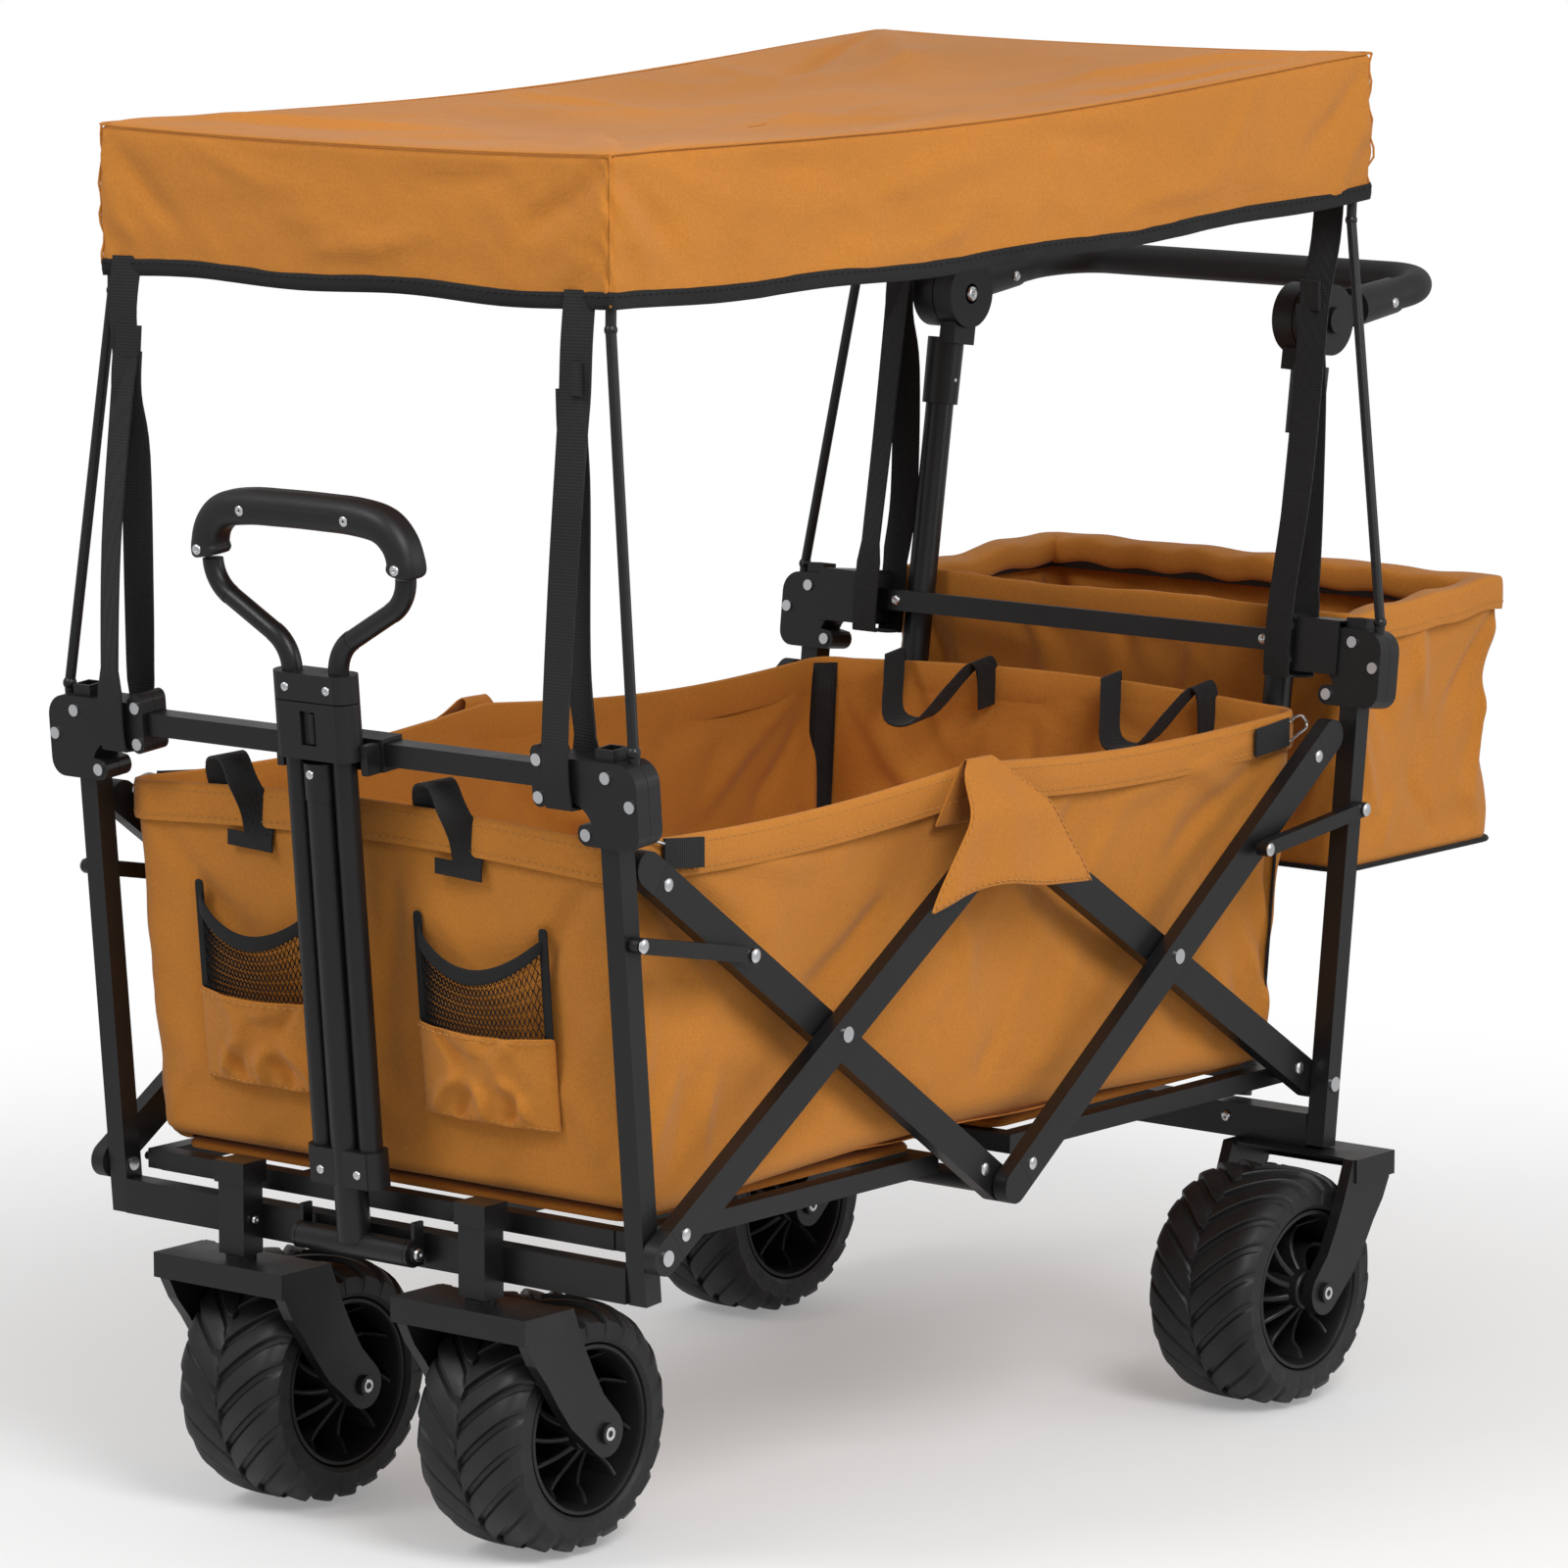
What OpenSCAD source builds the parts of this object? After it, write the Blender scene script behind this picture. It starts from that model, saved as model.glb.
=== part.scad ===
// Folding four-wheel pull wagon with canopy, pull handle, push bar and rear basket.
// +Z up, +X to the right of the wagon, -Y towards the pull handle.
// Origin: on the floor, under the centre of the overall box.

/* [Frame] */
// Half distance between the front and rear lower pivots
half_base = 390; // [380:1:400]
// Height of the lower side pivots
pivot_z = 234; // [230:1:238]
// Height of the crossings of the side bars
cross_z = 359; // [354:1:364]
// Height of the centre bottom joint
centre_z = 219; // [216:1:222]
// Lean of the front posts, top forwards, in degrees
front_lean = 4.9; // [4.5:0.1:5.2]
// Lean of the rear posts, top backwards, in degrees
rear_lean = 6.7; // [6.4:0.1:7]
// Side of the square post tube
post = 16; // [15:1:16]
// Width of the side bars
bar_w = 25; // [22:1:25]
// Thickness of the side bars
bar_t = 11.6; // [10:0.2:11.6]
// Outer face of the inner bar layer, from the middle plane
layer_in = 250; // [250:1:250]
// Outer face of the outer bar layer, from the middle plane
layer_out = 264; // [264:0.5:265]

/* [Wheels] */
// Wheel radius
wheel_r = 90; // [86:1:90]
// Tyre width
tyre_w = 95; // [85:1:95]
// Half distance between the front swivel axes
caster_x = 112.5; // [110:0.5:114]
// Half distance between the rear wheel centres
rear_wheel_x = 247; // [246:1:250]
// How far a wheel axle trails its fork
trail = 62.5; // [60:0.5:65]

/* [Fabric] */
// Half width of the tub
tub_x = 232; // [226:1:233]
// Height of the underside of the tub
tub_floor_z = 250; // [248:1:260]
// Height of the tub's rim
tub_rim_z = 516; // [500:1:520]
// Thickness of the fabric walls
cloth_t = 3; // [2.5:0.1:4]
// Half width of the canopy
canopy_x = 240; // [236:1:244]

/* [Handles] */
// Height of the pull handle's pivot
handle_pivot_z = 211; // [210:1:212]
// Half distance between the push tubes
push_x = 175; // [172:1:178]
// Height of the push bar's hinge
hub_z = 800; // [790:1:810]

/* [Hidden] */

// the wheelbase centre lies this far in front of the centre of the overall box
base_shift = 106.4;
// slopes of the bars: rising (outer front, inner rear) and crossing
cross_y = half_base / 2;
rise_angle = atan2(cross_z - pivot_z, cross_y);
cross_angle = atan2(cross_z - centre_z, cross_y);
rise_len = 2 * (half_base / 2) / cos(rise_angle);
cross_len = 2 * (half_base / 2) / cos(cross_angle);
top_z = 2 * cross_z - pivot_z;
pin_r = 4;
run_fit = 0.05;
tube_wall = 1.5;
black = "#26272a";
plastic = "#1d1e20";
zinc = "#c9ccd1";
orange = "#c27a26";
webbing = "#1b1b1c";
rubber = "#161617";
round_fn = 48;
soft_fn = 24;

front_fork_y = -408;
rear_fork_y = 388;
fork_top_z = 185;
fork_w = 123;
fork_depth = 50;
fork_plate = 2.5;
fork_flange = 18;
arm_gap = tyre_w / 2 + 3.5;
arm_t = 9;
axle_r = 5;

bracket_t = 25;
bracket_z = 329;
beam_h = 25;

module placed() { translate([0, -base_shift, 0]) children(); }
module both() {
  children();
  mirror([1, 0, 0]) children();
}
// local frames that follow the leaning posts; local origin at the lower side pivots
module front_frame() { translate([0, -half_base, pivot_z]) rotate([front_lean, 0, 0]) children(); }
module rear_frame() { translate([0, half_base, pivot_z]) rotate([-rear_lean, 0, 0]) children(); }
module axis_x(x, y, z, len, r, fn = round_fn) {
  translate([x, y, z]) rotate([0, 90, 0]) cylinder(h = len, r = r, $fn = fn);
}
module box(x0, x1, y0, y1, z0, z1) { translate([x0, y0, z0]) cube([x1 - x0, y1 - y0, z1 - z0]); }
function arc(cx, cy, r, a0, a1, n) =
  [for (i = [0 : n]) let (a = a0 + (a1 - a0) * i / n) [cx + r * cos(a), cy + r * sin(a)]];
// square tube standing on z0, centred on (x, y)
module post_tube(x, y, z0, z1, a, b) {
  bore_a = a / 2 - tube_wall;
  bore_b = b / 2 - tube_wall;
  difference() {
    box(x - a / 2, x + a / 2, y - b / 2, y + b / 2, z0, z1);
    box(x - bore_a, x + bore_a, y - bore_b, y + bore_b, z0 + 2, z1 + 1);
  }
}

// ---------- front frame ----------
front_post_x = layer_in - post / 2;
rear_post_x = layer_out + 4 - post / 2;
module post_pair(x, z0, z1, rivet_x) {
  both() difference() {
    post_tube(x, 0, z0, z1, post, post);
    axis_x(x - post, 0, 0, 2 * post, pin_r + run_fit);
    translate([rivet_x, post, bracket_z + 5]) rotate([90, 0, 0]) cylinder(h = 2 * post, r = 2.5, $fn = 24);
  }
}
link_post_z = 217;
module front_posts() color(black) front_frame() post_pair(front_post_x, -35, 352, front_bracket_x - 26);
module front_axle_beam() color(black)
  translate([0, -half_base, 0])
    box(-front_post_x + post / 2 + 0.2, front_post_x - post / 2 - 0.2, -8, 8, 199, 199 + beam_h);
module crossbar(half) {
  translate([0, 0, bracket_z]) difference() {
    box(-half, half, -post / 2, post / 2, -post / 2, post / 2);
    bore = post / 2 - tube_wall;
    box(-half - 1, half + 1, -bore, bore, -bore, bore);
  }
}
module front_crossbar() color(black) front_frame() crossbar(front_post_x - post / 2 - 0.5);

// L-shaped corner bracket outline in (x, z), outer side at x1, inner clamp end at x0
module bracket_outline(x0, x1, foot_x) {
  top = bracket_z + 15;
  low = bracket_z - 43;
  polygon(concat(
    arc(x1 - 16, top - 16, 16, 0, 90, 8),
    [[x1 - 24, top], [x0 + 14, top]],
    [[x0 + 14, top + 2]], arc(x0 + 6, top + 1, 6, 70, 180, 6),
    arc(x0 + 6, bracket_z - 15, 6, 180, 290, 6),
    [[x0 + 14, bracket_z - 18]],
    arc(foot_x - 14, low + 8, 20, 86, 20, 6),
    arc(foot_x, low + 7, 8, 130, 270, 6),
    arc(x1 - 12, low + 11, 12, 270, 360, 6)
  ));
}
rivet_spots_local = [
  [-26, bracket_z + 5], [-6, bracket_z - 13], [-46, bracket_z - 36],
  [-86, bracket_z + 12], [-86, bracket_z - 14]
];
// two half shells with a fine seam between them, a slot for the post and one for the crossbar
module bracket_pair(x1, post_x, rod_x) {
  both() difference() {
    for (s = [-1, 1]) translate([0, s * bracket_t / 4, 0])
      rotate([90, 0, 0]) translate([0, 0, -bracket_t / 4 + 0.15])
        linear_extrude(height = bracket_t / 2 - 0.3) bracket_outline(x1 - 92, x1, x1 - 46);
    box(post_x - post / 2 - 0.2, post_x + post / 2 + 0.2, -post / 2 - 0.2, post / 2 + 0.2, 0, 352.5);
    slot = post / 2 + 0.2;
    box(x1 - 100, post_x, -slot, slot, bracket_z - slot, bracket_z + slot);
    translate([rod_x, 0, bracket_z - 12]) cylinder(h = 40, r = 4 + run_fit, $fn = round_fn);
    for (p = rivet_spots_local) translate([x1 + p[0], bracket_t, p[1]]) rotate([90, 0, 0])
      cylinder(h = 2 * bracket_t, r = 2.5, $fn = 24);
  }
}
module rivet_set(x1) {
  both() for (p = rivet_spots_local) translate([x1 + p[0], 0, p[1]]) rotate([90, 0, 0]) {
    for (s = [-1, 1]) translate([0, 0, s * (bracket_t / 2 + 0.8) - 0.8]) cylinder(h = 1.6, r = 4.3, $fn = 24);
    translate([0, 0, -bracket_t / 2 - 0.2]) cylinder(h = bracket_t + 0.4, r = 2.4, $fn = 24);
  }
}
front_bracket_x = 272;
rear_bracket_x = 288;
front_rod_x = 258;
rear_rod_x = 274;
module front_brackets() color(plastic) front_frame()
  bracket_pair(front_bracket_x, front_post_x, front_rod_x + 3);
module front_rivets() color(zinc) front_frame() rivet_set(front_bracket_x);

module caster_housings() color(black) both() {
  for (x = [caster_x]) {
    difference() {
      box(x - 12, x + 12, front_fork_y - 10, front_fork_y + 9.8, 189, 240);
      translate([x, front_fork_y, 188]) cylinder(h = 40, r = 6 + run_fit, $fn = round_fn);
    }
    difference() {
      box(x - 14, x + 14, front_fork_y - 12, front_fork_y + 12, 240.2, 256);
      box(x - 10, x + 10, front_fork_y + 10, front_fork_y + 13, 239, 246);
    }
  }
}
sleeve_half = 50;
handle_y = -410.5;
module handle_mount() color(black) translate([0, handle_y, handle_pivot_z]) {
  for (x = [-sleeve_half - 3.5, sleeve_half + 0.5]) difference() {
    union() {
      axis_x(x, 0, 0, 3, 9.6);
      box(x, x + 3, 0, 9.7, -9, 22);
    }
    axis_x(x - 1, 0, 0, 5, pin_r);
  }
  axis_x(-sleeve_half - 5, 0, 0, 2 * sleeve_half + 10, pin_r);
  for (s = [-1, 1]) axis_x(s * (sleeve_half + 5.2) - 1.5, 0, 0, 3, 6.5);
}
// spring clip on the front crossbar that holds the folded-up handle
module handle_clip() color(plastic) front_frame() translate([0, 0, bracket_z]) {
  difference() {
    box(-44, 44, -post / 2 - 2.6, post / 2 + 2.6, -12, 11);
    box(-45, 45, -post / 2 - 0.2, post / 2 + 0.2, -8.2, 8.2);
  }
  for (s = [-1, 1]) box(s * 39 - 3, s * 39 + 3, -24, -post / 2 - 2.6, -12, 9);
}

// ---------- canopy and rods ----------
canopy_front_y = -416;
canopy_rear_y = 478;
hem_front_z = 876;
hem_rear_z = 897;
top_front_z = 982;
top_rear_z = 1008;
rod_r = 3.8;
// straight rod between two points
module rod(a, b, r = rod_r) {
  d = b - a;
  len = norm(d);
  translate(a) rotate([0, acos(d[2] / len), atan2(d[1], d[0])]) cylinder(h = len, r = r, $fn = 20);
}
function front_local(x, y, z) = [x, -half_base + y * cos(front_lean) - z * sin(front_lean),
  pivot_z + y * sin(front_lean) + z * cos(front_lean)];
function rear_local(x, y, z) = [x, half_base + y * cos(rear_lean) + z * sin(rear_lean),
  pivot_z - y * sin(rear_lean) + z * cos(rear_lean)];
// rods lean in to the canopy's hem, then run up inside it
module bent_rod(a, b, c) {
  rod(a, b);
  translate(a) sphere(r = rod_r + 1.2, $fn = 32);
  translate(b) sphere(r = rod_r + 0.8, $fn = 32);
  rod(b, c);
}
rod_top_x = canopy_x - 11;
module front_canopy_rods() color(black) both() {
  front_frame() translate([front_rod_x + 3, 0, bracket_z - 11]) cylinder(h = 32, r = 4, $fn = round_fn);
  bent_rod(front_local(front_rod_x + 3, 0, bracket_z + 21), [rod_top_x, -404, 862], [rod_top_x, -402, 974]);
}
module rear_canopy_rods() color(black) both() {
  rear_frame() translate([rear_rod_x + 3, 0, bracket_z - 11]) cylinder(h = 32, r = 4, $fn = round_fn);
  bent_rod(rear_local(rear_rod_x + 3, 0, bracket_z + 21), [rod_top_x, 456, 880], [rod_top_x, 462, 999]);
}
// open-bottomed cover: its side outline in (y, z) pushed across the wagon, hollowed from below
function sag(t, low, high, dip) = low + (high - low) * t - dip * sin(180 * t);
module canopy_block(inset, drop) {
  y0 = canopy_front_y + inset;
  len = canopy_rear_y - inset - y0;
  translate([-canopy_x + inset, 0, 0]) rotate([90, 0, 90])
    linear_extrude(height = 2 * (canopy_x - inset)) polygon(concat(
    [for (i = [0 : 8]) [y0 + len * i / 8, sag(i / 8, hem_front_z, hem_rear_z, 10) - drop]],
    [for (i = [8 : -1 : 0]) [y0 + len * i / 8, sag(i / 8, top_front_z, top_rear_z, 14) - inset]]
  ));
}
module canopy() color(orange) difference() {
  canopy_block(0, 0);
  canopy_block(cloth_t, 20);
}

// flat webbing between a top edge and a bottom edge
module strap(top, bottom, w) {
  section = [[-w / 2, -1], [w / 2, -1], [w / 2, 1], [-w / 2, 1]];
  polyhedron(points = [for (p = [bottom, top]) for (q = section) [p[0] + q[0], p[1] + q[1], p[2]]],
    faces = [[0, 1, 2, 3], [7, 6, 5, 4], [0, 4, 5, 1], [1, 5, 6, 2], [2, 6, 7, 3], [3, 7, 4, 0]]);
}
strap_w = 23;
module strap_loop(x, front, rear, half) {
  translate([x, 0, bracket_z]) difference() {
    box(-strap_w / 2, strap_w / 2, front - 2, rear + 2, -half - 1.6, half + 1.6);
    box(-strap_w, strap_w, front, rear, -half, half);
  }
}
module front_straps() color(webbing) both() {
  strap([208, -410.5, 885], front_local(206, -16, bracket_z + 9), strap_w);
  front_frame() strap_loop(206, -15, 15, 18.4);
}
module rear_straps() color(webbing) both() {
  strap([200, 470, 905], rear_local(198.6, -18.6, bracket_z + 12), strap_w);
  rear_frame() strap_loop(198.6, -17.6, 15, 24);
}

// ---------- tub ----------
module tub_form(inset, z0, z1) {
  r = 26 - inset;
  hull() {
    for (sx = [-1, 1]) for (sy = [-1, 1]) {
      translate([sx * (tub_x - 4 - 26), sy * (half_base - 13 - 26) - 1, z0])
        cylinder(h = 1, r = r, $fn = soft_fn);
      translate([sx * (tub_x - 26), sy * (half_base + 9 - 26) - 1, z1 - 1])
        cylinder(h = 1, r = r, $fn = soft_fn);
    }
  }
}
// two open-topped pockets on the front wall
tub_front_top = -half_base - 10;
tub_front_low = -half_base + 12;
function wall_y(z) =
  tub_front_low + (tub_front_top - tub_front_low) * (z - tub_floor_z) / (tub_rim_z - tub_floor_z);
pocket_z0 = 305;
pocket_z1 = 440;
module pocket_slab(x0, x1, back, front, z0, z1) {
  translate([x0, 0, 0]) rotate([90, 0, 90]) linear_extrude(height = x1 - x0)
    polygon([
      [wall_y(z0) - back, z0], [wall_y(z0) - front, z0], [wall_y(z1) - front, z1], [wall_y(z1) - back, z1]
    ]);
}
module front_pockets() color(orange) both() difference() {
  pocket_slab(41, 166, 0.6, 21, pocket_z0, pocket_z1);
  pocket_slab(43, 164, 2.6, 19, pocket_z0 + 2, pocket_z1 + 2);
}
module tub() color(orange) difference() {
  tub_form(0, tub_floor_z, tub_rim_z);
  tub_form(cloth_t, tub_floor_z + cloth_t, tub_rim_z + 2);
}

// ---------- folding sides ----------
// bar from a start point along an angle, in the plane x_out - bar_t .. x_out
module side_bar(x_out, y, z, angle, len, cap) {
  translate([x_out - bar_t, y, z]) rotate([angle, 0, 0]) difference() {
    box(0, bar_t, cap, len - cap, -bar_w / 2, bar_w / 2);
    box(tube_wall, bar_t - tube_wall, cap - 1, len - cap + 1, -bar_w / 2 + tube_wall, bar_w / 2 - tube_wall);
    for (c = [0, len / 2, len]) axis_x(-1, c, 0, bar_t + 2, pin_r + run_fit);
  }
}
module end_cap(x_out, y, z, angle, hole_r) {
  translate([x_out - bar_t, y, z]) rotate([angle, 0, 0]) difference() {
    union() {
      axis_x(0, 0, 0, bar_t, bar_w / 2);
      box(0, bar_t, 0, 13.8, -bar_w / 2, bar_w / 2);
    }
    if (hole_r > 0) axis_x(-1, 0, 0, bar_t + 2, hole_r);
  }
}
cap_len = 14;
module rivet_x(x0, x1, y, z, r = pin_r) {
  axis_x(x0, y, z, x1 - x0, r);
  axis_x(x1, y, z, 1.6, r + 1.6);
  axis_x(x0 - 1, y, z, 1, r + 1);
}
module rising_bars() color(black) both()
  side_bar(layer_out, -half_base, pivot_z, rise_angle, rise_len, cap_len);
module rising_bar_caps() color(plastic) both() {
  end_cap(layer_out, -half_base, pivot_z, rise_angle, pin_r + run_fit);
  end_cap(layer_out, 0, top_z, rise_angle + 180, pin_r + run_fit);
}
module rising_rivets() color(zinc) both() {
  rivet_x(layer_in - post - 0.2, layer_out, -half_base, pivot_z);
  rivet_x(layer_in - bar_t, layer_out, -cross_y, cross_z);
  rivet_x(layer_in - bar_t, layer_out, 0, top_z);
}
module falling_bars() color(black) both()
  side_bar(layer_in, half_base, pivot_z, 180 - rise_angle, rise_len, cap_len);
module falling_bar_caps() color(plastic) both() {
  end_cap(layer_in, half_base, pivot_z, 180 - rise_angle, pin_r + run_fit);
  end_cap(layer_in, 0, top_z, -rise_angle, pin_r + run_fit);
}
module falling_rivets() color(zinc) both() {
  rivet_x(layer_in - bar_t, layer_out + 4, half_base, pivot_z);
  rivet_x(layer_in - bar_t, layer_out, cross_y, cross_z);
}
module front_cross_bars() color(black) {
  both() side_bar(layer_in, 0, centre_z, 180 - cross_angle, cross_len, cap_len);
  axis_x(-layer_in + bar_t + 0.2, 0, centre_z, 2 * (layer_in - bar_t - 0.2), 8);
}
module front_cross_caps() color(plastic) both() {
  end_cap(layer_in, 0, centre_z, 180 - cross_angle, 0);
  end_cap(layer_in, -half_base, 2 * cross_z - centre_z, -cross_angle, 0);
}
module rear_cross_bars() color(black) both()
  side_bar(layer_out, 0, centre_z, cross_angle, cross_len, cap_len);
module rear_cross_caps() color(plastic) both() {
  end_cap(layer_out, 0, centre_z, cross_angle, 0);
  end_cap(layer_out, half_base, 2 * cross_z - centre_z, 180 + cross_angle, 0);
}

// short links between the posts and the crossing bars
front_link_post = front_local(0, 0, link_post_z);
link_bar_y = half_base - 100;
link_bar_z = cross_z + (link_bar_y - cross_y) * tan(cross_angle);
link_t = 8;
link_w = 11;
rear_link_post = rear_local(0, 0, link_post_z - 8);
module link(a, b, x) {
  len = norm([b[0] - a[0], b[1] - a[1]]);
  ang = atan2(b[1] - a[1], b[0] - a[0]);
  translate([x, a[0], a[1]]) rotate([ang, 0, 0]) {
    axis_x(0, 0, 0, link_t, link_w / 2);
    axis_x(0, len, 0, link_t, link_w / 2);
    box(0, link_t, 0, len, -link_w / 2, link_w / 2);
    for (c = [0, len]) axis_x(link_t, c, 0, 1.4, 4.5);
  }
}
module front_links() color(black) both()
  link([front_link_post[1], front_link_post[2]], [-link_bar_y, link_bar_z], layer_in + 0.6);
module rear_links() color(black) both()
  link([rear_link_post[1], rear_link_post[2]], [link_bar_y, link_bar_z], layer_out + 4.6);

// floor frames: two outer and two middle bars, a tube at each end
floor_z = 238;
floor_half = 7;
floor_in = 13;
floor_len = 335;
module floor_frame(x_out) {
  for (s = [-1, 1]) {
    box(s * (x_out - 7) - 7, s * (x_out - 7) + 7, -6, floor_len, -floor_half, floor_half);
    box(s * 82 - 7, s * 82 + 7, floor_half + 0.1, floor_len - 2 * floor_half - 0.1,
      -floor_half + 0.5, floor_half - 0.5);
    axis_x(s * (x_out + 0.5) - 6, 0, 0, 12, 3);
  }
  for (y = [-floor_half, floor_len - 2 * floor_half])
    box(-x_out + 14.1, x_out - 14.1, y, y + 2 * floor_half, -floor_half, floor_half);
}
floor_frame_x = front_post_x - post / 2 - 8;
module front_floor_frame() color(black)
  translate([0, -half_base + floor_in, floor_z]) floor_frame(floor_frame_x);
module rear_floor_frame() color(black)
  translate([0, half_base - floor_in, floor_z]) mirror([0, 1, 0]) floor_frame(floor_frame_x);

// ---------- rear frame ----------
rear_beam_y = 390;
module rear_posts() color(black) rear_frame() post_pair(rear_post_x, -47.8, 352, rear_bracket_x - 26);
module rear_axle_beam() color(black)
  box(-rear_post_x + post / 2 + 0.6, rear_post_x - post / 2 - 0.6, rear_beam_y - 12, rear_beam_y + 10,
    fork_top_z + 0.2, 211);
module rear_crossbar() color(black) rear_frame() crossbar(rear_post_x - post / 2 - 0.5);
module rear_brackets() color(plastic) rear_frame() bracket_pair(rear_bracket_x, rear_post_x, rear_rod_x + 3);
module rear_rivets() color(zinc) rear_frame() rivet_set(rear_bracket_x);
// folded sheet plate over the bracket, carrying the basket rail
plate_x0 = 211;
plate_x1 = 250;
module rear_bracket_plates() color(black) rear_frame() both() difference() {
  box(plate_x0, plate_x1, -bracket_t / 2 - 2, bracket_t / 2 + 18, bracket_z - 21, bracket_z + 20);
  box(plate_x0 - 1, plate_x1 + 1, -bracket_t / 2 - 0.4, bracket_t / 2 + 0.4,
    bracket_z - 22, bracket_z + 18.4);
  box(plate_x0 - 1, plate_x1 + 1, bracket_t / 2 + 2, bracket_t / 2 + 19, bracket_z - 22, bracket_z + 18.4);
}
push_lean = 8.9;
push_foot_y = rear_beam_y + 5;
push_foot_z = 212;
hub_y = push_foot_y + (hub_z - push_foot_z) * tan(push_lean);
push_len = (hub_z - push_foot_z) / cos(push_lean);
tube_r = 11;
module push_frame() { translate([0, push_foot_y, push_foot_z]) rotate([-push_lean, 0, 0]) children(); }
module push_tubes() color(black) both() push_frame() translate([push_x, 0, 2]) difference() {
  cylinder(h = push_len - 72, r = tube_r, $fn = round_fn);
  translate([0, 0, 3]) cylinder(h = push_len, r = tube_r - tube_wall, $fn = round_fn);
}
hub_r = 27;
// fixed hub halves with the sleeve that takes the push tube
module hub_bases() color(plastic) both() push_frame() translate([push_x, 0, push_len]) difference() {
  union() {
    axis_x(-21, 0, 0, 18, hub_r);
    translate([0, 0, -88]) cylinder(h = 52, r1 = 14, r2 = 14.5, $fn = round_fn);
    box(-18, -3, -13, 13, -40, 0);
  }
  axis_x(-22, 0, 0, 40, 8 + run_fit);
  translate([0, 0, -89]) cylinder(h = 20, r = tube_r, $fn = round_fn);
  axis_x(-2.6, 0, 0, 30, hub_r + 1.5);
}
module rear_forks() both() {
  color(black) translate([rear_wheel_x, rear_fork_y, 0]) mirror([0, 1, 0]) fork_body();
  color(zinc) axle(rear_wheel_x, rear_fork_y - trail);
}

// basket: rails from the bracket plates and an open box of cloth hung on them
basket_y0 = 467;
basket_y1 = 684;
basket_x = 225;
basket_z0 = 376;
basket_z1 = 586;
rail_w = 12;
rail_z0 = 562;
rail_x1 = basket_x - 7;
rail_y1 = basket_y1 - 7;
rail_y0 = 448;
module basket_rails() color(black) {
  both() box(rail_x1 - rail_w, rail_x1, rail_y0, rail_y1, rail_z0, rail_z0 + rail_w);
  box(-rail_x1 + rail_w + 0.2, rail_x1 - rail_w - 0.2, rail_y1 - rail_w, rail_y1, rail_z0, rail_z0 + rail_w);
}
basket_r = 14;
module basket_form(inset, z0, z1) {
  hull() for (s = [-1, 1]) for (y = [basket_y0 + basket_r, basket_y1 - basket_r]) {
    translate([s * (basket_x - basket_r - 4), y, z0]) cylinder(h = 1, r = basket_r - inset, $fn = soft_fn);
    translate([s * (basket_x - basket_r), y, z1 - 1]) cylinder(h = 1, r = basket_r - inset, $fn = soft_fn);
  }
}
module rear_basket() color(orange) difference() {
  basket_form(0, basket_z0, basket_z1);
  basket_form(cloth_t, basket_z0 + cloth_t, basket_z1 + 2);
  both() box(rail_x1 - rail_w - 1, rail_x1 + 1, rail_y0, basket_y0 + 8, rail_z0 - 1, rail_z0 + rail_w + 1);
}

// ---------- pull handle ----------
// local frame of the handle: origin on its pivot, leaning with the front posts
module handle_frame() { translate([0, handle_y, handle_pivot_z]) rotate([front_lean, 0, 0]) children(); }
stem_r = 12;
side_tube_r = 8.5;
side_tube_x = 21.5;
clamp_z = 45;
housing_z = 348;
stem_top = 345;
module handle_stem() color(black) handle_frame() difference() {
  union() {
    axis_x(-sleeve_half, 0, 0, 2 * sleeve_half, 9.6);
    translate([0, -2, 4]) cylinder(h = stem_top - 30, r = stem_r, $fn = round_fn);
    translate([0, -2, stem_top - 26]) cylinder(h = 26, r = stem_r + 0.8, $fn = round_fn);
  }
  axis_x(-sleeve_half - 1, 0, 0, 2 * sleeve_half + 2, pin_r + run_fit);
}
module handle_clamp() color(plastic) handle_frame() difference() {
  union() {
    box(-26, 26, -13.5, 9.5, clamp_z, clamp_z + 26);
    for (s = [-1, 1]) translate([s * 22, -2, clamp_z]) cylinder(h = 26, r = 11.5, $fn = round_fn);
  }
  translate([0, -2, clamp_z - 1]) cylinder(h = 30, r = stem_r + run_fit, $fn = round_fn);
  for (s = [-1, 1]) translate([s * side_tube_x, -2, clamp_z + 4])
    cylinder(h = 30, r = side_tube_r, $fn = round_fn);
}
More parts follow.
